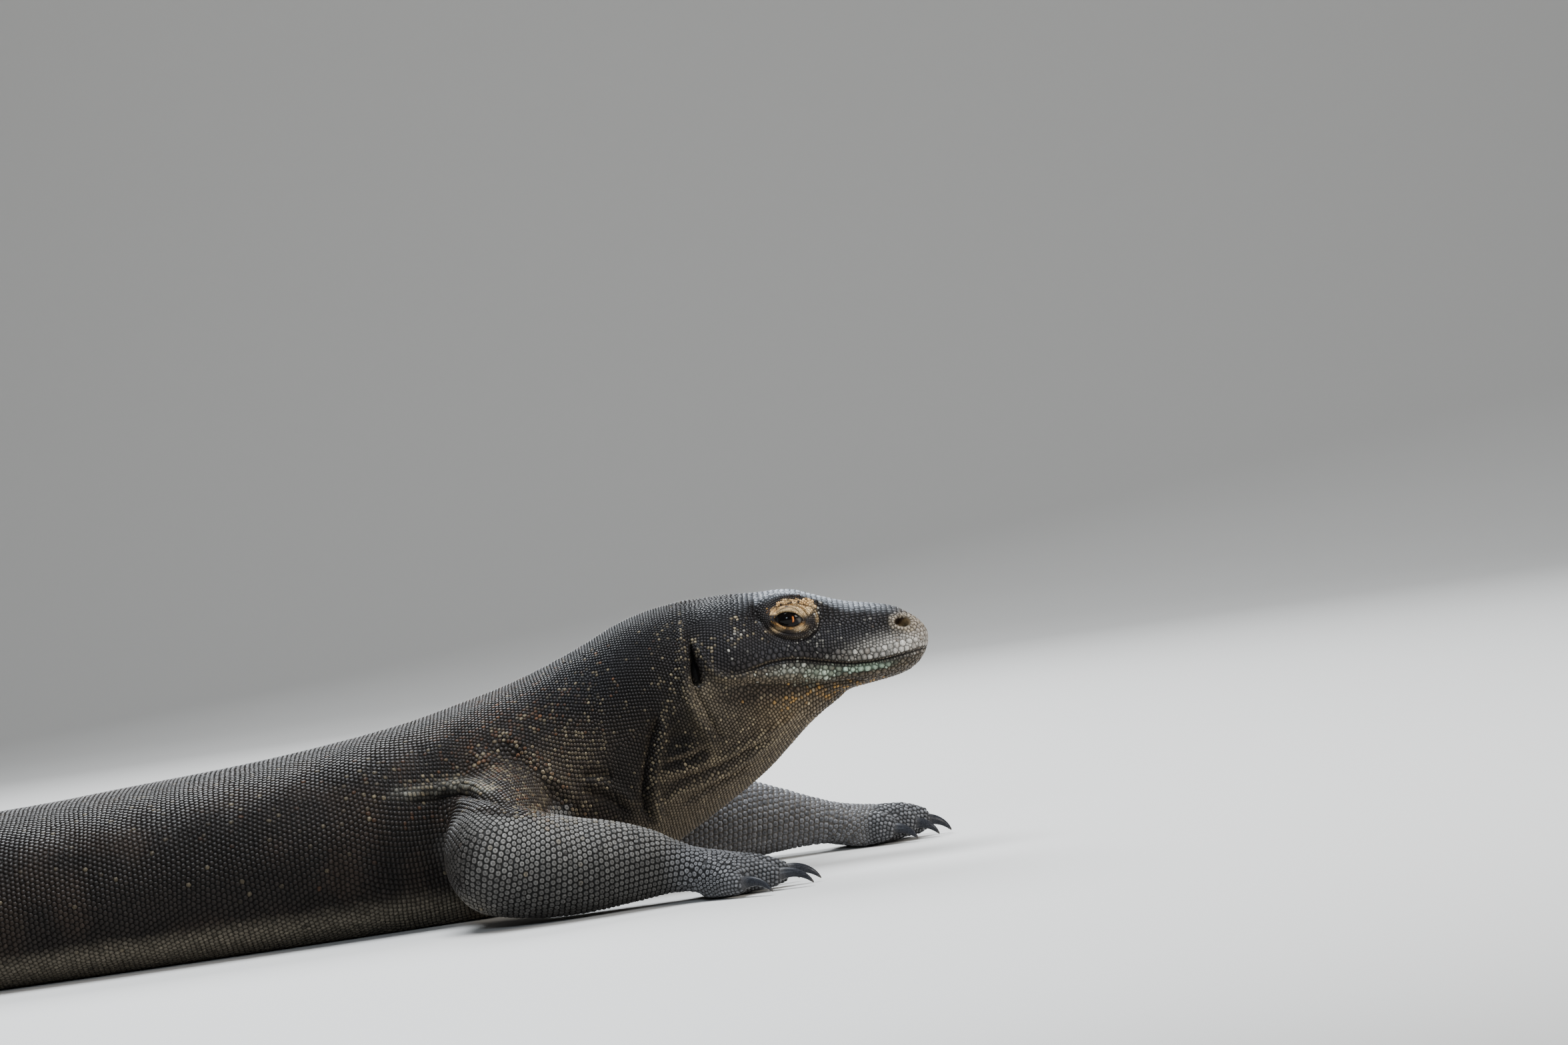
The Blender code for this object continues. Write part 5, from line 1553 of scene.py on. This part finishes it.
def fill():
    """Roots at the hide's own points where rows left bare skin, sized and laid like their neighbours."""
    grown, _, lies, sizes, _, _ = roots.joined()
    tree = tree_of(grown)
    near = [tree.find(p)[1:] for p in form.tolist()]
    nearest, distance = np.array([n[0] for n in near]), np.array([n[1] for n in near])
    chosen = np.flatnonzero(distance > BARE_REACH * sizes[nearest].max(1))
    chosen = chosen[np.argsort(cloud(form[chosen], 0.02, 5) + CHANCE.uniform(0, 0.02, len(chosen)))]
    roots.place.append(form[chosen])
    roots.facing.append(normals[chosen])
    roots.lie.append(lies[nearest[chosen]])
    roots.size.append(np.minimum(sizes[nearest[chosen]], LARGEST_FILL) * 0.92)
    turn = np.arctan2(form[chosen, 1], form[chosen, 2] - 0.05)
    ring = (form[chosen, 0] - form[chosen, 0].min()) / 0.004
    roots.strip.append(np.stack([np.full(len(chosen), roots.strips), np.round(ring), turn * 30], 1))
    roots.order.append(np.full(len(chosen), 20))


def crowded(place, size, order):
    """Which roots stand: taken in order, each drops the later ones nearer than 0.72 of their mean size."""
    tree = tree_of(place)
    least = size.min(1)
    alive = np.ones(len(place), bool)
    turns = np.argsort(order, kind="stable")
    rank = np.empty(len(place), int)
    rank[turns] = np.arange(len(place))
    for k in turns:
        if not alive[k]:
            continue
        for _, other, distance in tree.find_range(place[k], 0.62 * size[k].max() + 0.0012):
            if rank[other] > rank[k] and alive[other] and distance < 0.36 * (least[k] + least[other]):
                alive[other] = False
    return alive


def laid(lie, facing):
    """The ways scales lie, flat on the hide."""
    return unit(lie - facing * np.einsum("ij,ij->i", lie, facing)[:, None])


def settled(place, facing, lie, size, movable, rounds=3):
    """Roots nudged apart over the hide where they crowd, each by the room that it lacks."""
    for _ in range(rounds):
        tree = tree_of(place)
        near = np.array([[n for _, n, _ in tree.find_n(p, 8)] for p in place.tolist()])
        offset = place[near] - place[:, None]
        along = laid(lie, facing)
        over = np.cross(facing, along)
        u = np.einsum("ijk,ik->ij", offset, along) / (size[:, :1] + size[near, 0]) * 2
        v = np.einsum("ijk,ik->ij", offset, over) / (size[:, 1:] + size[near, 1]) * 2
        gap = np.hypot(u, v)
        same = (np.einsum("ijk,ik->ij", facing[near], facing) > 0.2) & (gap > 1e-6)
        lack = np.where(same, np.maximum(1.0 - gap, 0) / np.maximum(gap, 0.2), 0)
        push_u, push_v = -(lack * u).sum(1) * 0.4, -(lack * v).sum(1) * 0.4
        most = np.maximum(np.hypot(push_u, push_v) / 0.3, 1) / movable
        moved = place + along * (push_u / most * size[:, 0])[:, None]
        moved = moved + over * (push_v / most * size[:, 1])[:, None]
        for k in np.flatnonzero((movable > 0) & (np.hypot(push_u, push_v) > 0.01)):
            hit, _, face, _ = surface.find_nearest(moved[k].tolist())
            place[k] = hit
            facing[k] = whole_normals[whole_faces[face]].sum(0)
        facing = unit(facing)
    return place, facing


def bare(place, facing):
    """Roots where no scale grows: in the eye's opening, the nostril, the ear's pit and the mouth's line."""
    x, y, z = place.T
    ear, share = off_line(place, EAR_SLIT)
    crack = np.min([off_line(place, line)[0] for line in BROW_CRACKS], 0)
    mouth, _ = off_line(place, MOUTH_LINE)
    side = np.abs(facing[:, 1]) > 0.3
    return (
        ((np.hypot(*eye_offsets(x, z)) < 1.02) & (np.abs(y) > 0.015))
        | ((nostril_ring(x, z) < 1.08) & (np.abs(y) > 0.005))
        | ((ear < ear_width(share) * 0.95) & (share < 1.0) & side)
        | ((crack < 0.0003) & side)
        | ((mouth < 0.0007) & (x > 0.224))
    )


def only(kept, *parts):
    """The kept rows of each array."""
    return [part[kept] for part in parts]


fill()
place, facing, lie, size, strip, order = roots.joined()
kept = crowded(place, size, order)
place, facing, lie, size, strip, order = only(kept, place, facing, lie, size, strip, order)
place, facing = settled(place, facing, lie, size, np.where(order >= 5, 1.0, 1e-3))
kept = crowded(place, size * 0.92, order)
place, facing, lie, size, strip = only(kept, place, facing, lie, size, strip)
place, facing, lie, size, strip = only(~bare(place, facing), place, facing, lie, size, strip)


def marked(points, tones):
    """Single scales that carry a mark, picked by chance, and each scale a little lighter or darker."""
    x, y, z = points.T
    count = len(points)
    spread = (0.26 + 0.14 * smooth(x, 0.24, 0.28)) * CHANCE.normal(0.0, 1.0, count)
    tones = tones * np.clip(1 + spread, 0.40, 1.9)[:, None]
    patchy = 0.45 + 1.1 * cloud(points, 0.011, 31)
    trunk = off_arms(points)
    for middle, radii, share, tone in MARKS:
        hit = CHANCE.random(count) < blob(x, z, middle, radii) * share * patchy * trunk
        tones = mix(tones, tone, CHANCE.uniform(0.2, 0.9, count) ** 2 * hit)
    for line, half_width, share, tone in LINE_MARKS:
        distance, _ = off_line(points, line)
        chance = np.exp(-((distance / half_width) ** 2)) * share * (0.6 + 0.8 * patchy)
        hit = CHANCE.random(count) < chance * (np.abs(y) > 0.01) * trunk
        tones = mix(tones, tone, CHANCE.uniform(0.2, 0.9, count) ** 1.5 * hit)
    return tones


# Each scale's neighbours, laid out in its own plane: how far off, which way, and its share of the room.
NEAREST = 14
count = len(place)
lie = laid(lie, facing)
cross = np.cross(facing, lie)
tree = tree_of(place)
neighbour = np.full((count, NEAREST), -1)
for k, p in enumerate(place.tolist()):
    row = [n for _, n, _ in tree.find_n(p, NEAREST + 1) if n != k][:NEAREST]
    neighbour[k, : len(row)] = row
mean_size = np.sqrt(size[:, 0] * size[:, 1])
offset = place[neighbour] - place[:, None]
dx = np.einsum("ijk,ik->ij", offset, lie)
dy = np.einsum("ijk,ik->ij", offset, cross)
reach = np.hypot(dx, dy)
aligned = np.einsum("ijk,ik->ij", facing[neighbour], facing) > 0.2
weight = mean_size[:, None] / (mean_size[:, None] + mean_size[neighbour])
toward = np.arctan2(dy, dx)
# A scale reaches as far as its size lets it, and further where its neighbours stand wide apart.
apart = np.where(aligned, reach, np.nan)[:, :6]
looseness = np.clip(np.nanmean(apart, 1) / (1.06 * mean_size), 0.95, 1.7)
longest = size * 0.66 * looseness[:, None]
mean_size = mean_size * np.clip(looseness, 1, 1.4)

tones, between = hide_tones(place, facing)
specked = marked(place, tones)
near_leg, far_leg, _ = on_legs(place)
x, y, z = place.T
near_arm = near_leg * (y < -0.080) * (z < np.interp(x, *np.array(ARM_TOP).T))
far_arm = far_leg * (y > 0.070)
pale = smooth(tones.mean(1), 0.15, 0.35) * smooth(tones[:, 0] - tones[:, 2], -0.02, 0.03)
on_head = smooth(x, 0.195, 0.215) * smooth(z, 0.125, 0.140)
on_neck = smooth(x, 0.02, 0.10) * (1 - on_head)
height = mean_size * (0.21 + 0.06 * on_neck - 0.05 * on_head) * CHANCE.uniform(0.85, 1.15, count)
back = 0.16 * size[:, 0] * (1 - on_head)

# A scale's levels from its foot up: (share of its outline, share of its height, how far it slides back,
# share of its own tone), and last its middle: (height, slide, tone). The tone shares paint shade low on
# each scale's sides and a highlight on its top: painted shade and painted highlight. On the ringed and
# cupped scales of the forelegs and shoulder the pale ring and dark middle are partly their own colour and
# partly painted highlight and shade.
FOOT = (1.0, 0.0, 0.0, 0.0)
DOMED = ((FOOT, (0.90, 0.58, 0.10, 0.55)), (1.0, 0.30, 1.45))
EVEN = ((FOOT, (0.90, 0.58, 0.10, 0.72)), (1.0, 0.30, 1.10))
RINGED = (
    (FOOT, (0.91, 0.60, 0.05, 0.55), (0.62, 1.0, 0.10, 1.30), (0.30, 0.76, 0.14, 0.85)),
    (0.56, 0.16, 0.50),
)
CUPPED = ((FOOT, (0.84, 0.72, 0.10, 1.25)), (1.0, 0.25, 0.55))
FOOT_DEPTH = 0.0003  # how far a scale's foot goes into the hide
ragged = 0.5 * (cloud(place, 0.012, 61) - 0.5)
shoulder = (np.hypot((x - 0.095) / 0.050, (z - 0.100) / 0.035) + ragged < 1) & (y < 0)
ringed = (near_arm >= 0.5) & (z > 0.010) & (x > 0.012)
cupped = ((far_arm >= 0.5) | shoulder) & ~ringed
# Each kind of scale: its corners, its levels, and which scales are of that kind.
KINDS = (
    (8, DOMED, ~ringed & ~cupped & (x > 0.196)),
    (8, RINGED, ringed),
    (6, CUPPED, cupped),
    (6, EVEN, ~ringed & ~cupped & (x <= 0.196)),
)
longest = longest * np.where(ringed | cupped, 0.80, 1.0)[:, None]


def outlines(chosen, turn):
    """How far each chosen scale reaches in each direction: half way to its neighbours, less a hair."""
    cosine = np.cos(turn[None, None] - toward[chosen, :, None])
    allowed = aligned[chosen, :, None] & (cosine > 0.05)
    edge = np.where(allowed, (weight * reach)[chosen, :, None] / np.maximum(cosine, 0.05), 1.0).min(1)
    a, b = longest[chosen, :1], longest[chosen, 1:]
    limit = a * b / np.hypot(b * np.cos(turn), a * np.sin(turn))
    return np.clip(edge, 0.22 * mean_size[chosen, None], limit) * 0.985 - 0.00004


def shades_of(chosen, levels, sides):
    """The tones at each scale's levels: dark at its foot, flecked with its mark above, its middle last,
    each scaled by its tone share: painted shade on the sides, a painted highlight on top.
    """
    rows, (_, _, top_tone) = levels
    bright, own, mark = pale[chosen], tones[chosen], specked[chosen]
    shades = [np.repeat(between[chosen, None] * 1.1, sides, 1)]
    for _, _, _, tone in rows[1:]:
        fleck = CHANCE.uniform(0.0, 1.2, (len(own), sides)) ** 1.5
        # Each level's share of the scale's tone, evener on pale scales, jittered by chance: painted shade
        # low on the sides and a painted highlight near the top.
        level = (tone + (0.85 - tone) * 0.6 * bright)[:, None]
        tone_weight = CHANCE.uniform(0.80, 1.20, (len(own), sides)) * level
        shades.append(mix(own[:, None], mark[:, None], fleck) * tone_weight[..., None])
    middle = mix(own, mark, CHANCE.uniform(0.3, 1.0, len(own)))
    shades.append((middle * (top_tone + (1.05 - top_tone) * bright)[:, None])[:, None])
    return np.concatenate(shades, 1)


def scale_faces(rows, sides):
    """One scale's triangles: a band between each two levels, and a fan to its middle."""
    k = np.arange(sides)
    j = (k + 1) % sides
    faces = []
    for low in np.arange(rows - 1) * sides:
        high = low + sides
        faces += [np.stack([low + k, low + j, high + j], 1), np.stack([low + k, high + j, high + k], 1)]
    low = (rows - 1) * sides
    faces.append(np.stack([low + k, low + j, np.full(sides, low + sides)], 1))
    return np.concatenate(faces)


def grown(chosen, sides, levels):
    """The chosen scales' points, as (scales, points, 3): each level is the outline, drawn in and lifted."""
    rows, (top, top_slide, _) = levels
    turn = np.arange(sides) * 2 * math.pi / sides
    edge = outlines(chosen, turn)
    sine, cosine = np.sin(turn)[None, :, None], np.cos(turn)[None, :, None]
    out = cross[chosen, None] * sine + lie[chosen, None] * cosine
    points = []
    for share, lift, slide, _ in rows:
        raised = height[chosen] * lift - (0 if points else FOOT_DEPTH)
        shift = facing[chosen] * raised[:, None] + lie[chosen] * (back[chosen] * slide)[:, None]
        points.append(place[chosen, None] + out * (edge * share)[..., None] + shift[:, None])
    apex = place[chosen] + facing[chosen] * (height[chosen] * top)[:, None]
    apex = apex + lie[chosen] * (back[chosen] * top_slide)[:, None]
    points = np.concatenate([*points, apex[:, None]], 1)
    points[..., 2] = np.maximum(points[..., 2], 0.0)
    return points


def unwrapped(mine):
    """Where scales lie in the unwrap: u counts rows along each strip, v counts scales round it."""
    u, start = np.zeros(count), 0.0
    for number in np.unique(strip[mine, 0]):
        these = mine[strip[mine, 0] == number]
        rows = strip[these, 1] - strip[these, 1].min()
        u[these] = start + rows
        start += rows.max() + 2
    u = 0.004 + u * min(PATCH_STEP, 0.992 / start)
    return np.stack([u, 0.5 + strip[:, 2] * PATCH_STEP], 1)


def patch_of(levels, sides):
    """One scale's own unwrap: each level is a circle in proportion, round its middle."""
    turn = np.arange(sides) * 2 * math.pi / sides
    circle = np.stack([np.cos(turn), np.sin(turn)], 1) * 0.48
    return np.concatenate([circle * row[0] for row in levels[0]] + [[(0.0, 0.0)]])


# Each coat piece holds the scales of one stretch of the animal: its name and where it ends.
STRETCHES = (
    ("head", 0.235), ("throat", 0.180), ("neck", 0.118), ("shoulder", 0.045), ("chest", -0.080),
    ("belly", -0.250), ("flank", -0.410), ("loin", -0.545), ("pelvis", -0.650), ("tail_root", -0.880),
    ("tail_end", -9.0),
)
PATCH, PATCH_STEP = 0.0030, 0.0033  # a scale's size in the unwrap, and the step from one to the next
scale_finish = hide_material("hide_scale", 0.42, 0.0005, 0.45)
ahead_of = 9.0
for name, behind in STRETCHES:
    mine = np.flatnonzero((x > behind) & (x <= ahead_of))
    ahead_of = behind
    spots = unwrapped(mine)
    points, shades, triangles, uvs, base = [], [], [], [], 0
    for sides, levels, kind in KINDS:
        chosen = mine[kind[mine]]
        if not len(chosen):
            continue
        plates = grown(chosen, sides, levels)
        each = plates.shape[1]
        starts = base + np.arange(len(chosen)) * each
        points.append(plates.reshape(-1, 3))
        shades.append(shades_of(chosen, levels, sides).reshape(-1, 3))
        triangles.append((scale_faces(len(levels[0]), sides) + starts[:, None, None]).reshape(-1, 3))
        uvs.append((spots[chosen, None] + patch_of(levels, sides) * PATCH).reshape(-1, 2))
        base += len(chosen) * each
    points, triangles = np.concatenate(points) + (AHEAD, 0, 0), np.concatenate(triangles)
    made = mesh_object("scales_" + name, points, triangles)
    paint(made, np.concatenate(shades))
    uv = made.data.uv_layers.new(name="OFBake")
    uv.data.foreach_set("uv", np.concatenate(uvs)[triangles.ravel()].astype(np.float32).ravel())
    made.data.materials.append(scale_finish)
    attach(made, "root")

# ----------------------------------------------------------
# The claws: twenty curved cones of dark polished horn, one out of each digit's end. Each bends down as it
# thins, is narrower along its top than below, and is worn pale at the point and at its root.
# ----------------------------------------------------------
CLAW_ROOT, CLAW_POINT = (0.0036, 0.0048), 0.0004  # half sizes at the root, and at the point
CLAW_POINT_HEIGHT, CLAW_CLEAR = 0.0018, 0.0008  # the point's aim over the floor, and the least height
CLAW_ROWS, CLAW_SIDES = 26, 20
CLAW_SEAT = 0.10  # the share of its length that sits in the digit
HORN, HORN_ROOT = colour(0.020, 0.021, 0.025), colour(0.085, 0.080, 0.078)
HORN_WORN = colour(0.12, 0.105, 0.09)


def claw_points(path, heading, length, bend):
    """Rings along an arc that leaves the digit's end and comes down to just over the floor."""
    root, before = np.array(path[-1][:3]), np.array(path[-1][:3]) - np.array(path[-2][:3])
    before = before / np.linalg.norm(before)
    level = np.array((math.cos(heading), math.sin(heading), 0.0))
    bowed = length * math.sin(bend / 2) / (bend / 2)
    rise = bend / 2 - math.asin((root[2] - CLAW_POINT_HEIGHT) / bowed)
    side = np.cross((0, 0, 1), level)
    place, rings = root - before * length * CLAW_SEAT, []
    turn = np.arange(CLAW_SIDES) * 2 * math.pi / CLAW_SIDES
    for k, s in enumerate(np.linspace(-CLAW_SEAT, 1.0, CLAW_ROWS)):
        pitch = rise - bend * max(s, 0.0)
        along = level * math.cos(pitch) + np.array((0, 0, math.sin(pitch)))
        if k:
            place = place + along * length * (1 + CLAW_SEAT) / (CLAW_ROWS - 1)
        left = (1 - max(s, 0.0)) ** 0.75
        half = [CLAW_POINT + (size - CLAW_POINT) * left for size in CLAW_ROOT]
        upright = np.cross(along, side)
        across = np.sin(turn) * half[0] * (1 - 0.28 * np.cos(turn))
        rings.append(place + np.outer(across, side) + np.outer(np.cos(turn) * half[1], upright))
    return np.array(rings)


def facing_out(points, triangles):
    """The triangles of a closed shell, turned over if they face its middle."""
    corner = points[triangles]
    across = np.cross(corner[:, 1] - corner[:, 0], corner[:, 2] - corner[:, 0])
    inwards = np.einsum("ij,ij->", across, corner.mean(1) - points.mean(0)) < 0
    return triangles[:, ::-1] if inwards else triangles


horn = hide_material("claw_horn_dark", 0.26, 0.0009, 0.35)
share = np.repeat(np.linspace(-CLAW_SEAT, 1.0, CLAW_ROWS), CLAW_SIDES)
share = np.concatenate([share, [0.0, 1.0]])
for name, (path, heading, (length, degrees)) in DIGITS.items():
    points, quads, fans = capped(claw_points(path, heading, length, math.radians(degrees)))
    triangles = facing_out(points, in_triangles(quads, fans))
    points[:, 2] = np.maximum(points[:, 2], CLAW_CLEAR)
    streak = cloud(points * (1.0, 1.0, 2.5), 0.0016, 51)
    tones = HORN * (0.7 + 0.8 * streak)[:, None]
    tones = mix(tones, HORN_ROOT, smooth(-share, -0.30, -0.02) * 0.55)
    tones = mix(tones, HORN_WORN, smooth(share, 0.86, 1.0) * 0.6)
    made = mesh_object(name + "_horn", points + (AHEAD, 0, 0), triangles)
    paint(made, tones)
    made.data.materials.append(horn)
    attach(made, "root")
    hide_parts(name)

# ----------------------------------------------------------
# The studio: a plain pale floor that sweeps up into a pale wall, a broad lamp overhead, a key lamp from
# ahead of the animal and a cool one behind its back. The camera stands level with the head and is rolled,
# so that the floor falls away towards the snout.
# ----------------------------------------------------------
FLOOR_HALF_WIDTH, FLOOR_FRONT, WALL, WALL_TOP = 9.0, -7.0, 4.5, 6.0
BEND_RADIUS, BEND_STEPS = 1.5, 12
HEAD = Vector((AHEAD + 0.25, 0.0, 0.12))
# Lamps: name, place off the head, size, power, colour.
LAMPS = (
    ("overhead", (-0.3, -0.1, 2.4), 1.5, 140, (0.90, 0.95, 1.0)),
    ("key", (2.3, -1.3, 1.1), 0.9, 50, (1.0, 0.95, 0.88)),
    ("front", (-0.30, -1.40, 0.56), 0.26, 6.0, (0.80, 0.90, 1.0)),
    ("rim", (-0.6, 2.2, 1.6), 1.2, 100, (0.92, 0.96, 1.0)),
)
TARGET, DISTANCE = Vector((AHEAD + 0.277, 0.0, 0.259)), 4.5
ELEVATION, ROLL = math.radians(1.4), math.radians(8.0)
FOCAL_LENGTH, SENSOR_WIDTH = 137.8, 36.0  # in millimetres


def sweep():
    """Floor and wall in one sheet, with a quarter circle between them."""
    outline = [(FLOOR_FRONT, 0.0), (WALL - BEND_RADIUS, 0.0)]
    for k in range(1, BEND_STEPS + 1):
        turn = math.pi / 2 * k / BEND_STEPS
        rise = BEND_RADIUS - BEND_RADIUS * math.cos(turn)
        outline.append((WALL - BEND_RADIUS + BEND_RADIUS * math.sin(turn), rise))
    outline.append((WALL, WALL_TOP))
    points = [(x, y, z) for y, z in outline for x in (-FLOOR_HALF_WIDTH, FLOOR_HALF_WIDTH)]
    faces = [(2 * k, 2 * k + 1, 2 * k + 3, 2 * k + 2) for k in range(len(outline) - 1)]
    return mesh_object("floor", np.array(points), faces)


floor = sweep()
paper = bpy.data.materials.new("floor_paper")
paper.use_nodes = True
shader = paper.node_tree.nodes["Principled BSDF"]
shader.inputs["Base Color"].default_value = (0.60, 0.59, 0.57, 1)
shader.inputs["Roughness"].default_value = 0.85
floor.data.materials.append(paper)

world = bpy.data.worlds.new("studio")
bpy.context.scene.world = world
world.use_nodes = True
world.node_tree.nodes["Background"].inputs["Color"].default_value = (0.95, 0.97, 1.0, 1)
world.node_tree.nodes["Background"].inputs["Strength"].default_value = 0.14

for name, off, size, power, tint in LAMPS:
    data = bpy.data.lights.new(name, "AREA")
    data.size, data.energy, data.color = size, power, tint
    lamp = bpy.data.objects.new(name, data)
    lamp.location = HEAD + Vector(off)
    lamp.rotation_euler = (HEAD - lamp.location).to_track_quat("-Z", "Y").to_euler()
    bpy.context.scene.collection.objects.link(lamp)

camera_data = bpy.data.cameras.new("camera")
camera = bpy.data.objects.new("camera", camera_data)
camera_data.lens, camera_data.sensor_width = FOCAL_LENGTH, SENSOR_WIDTH
camera_data.clip_start, camera_data.clip_end = 0.1, 60.0
behind = Vector((0, -math.cos(ELEVATION), math.sin(ELEVATION)))
right = Vector((1, 0, 0))
above = behind.cross(right)
rolled_right = right * math.cos(ROLL) - above * math.sin(ROLL)
rolled_above = right * math.sin(ROLL) + above * math.cos(ROLL)
turned = Matrix((rolled_right, rolled_above, behind)).transposed().to_4x4()
camera.matrix_world = Matrix.Translation(TARGET + behind * DISTANCE) @ turned
bpy.context.scene.collection.objects.link(camera)
bpy.context.scene.camera = camera
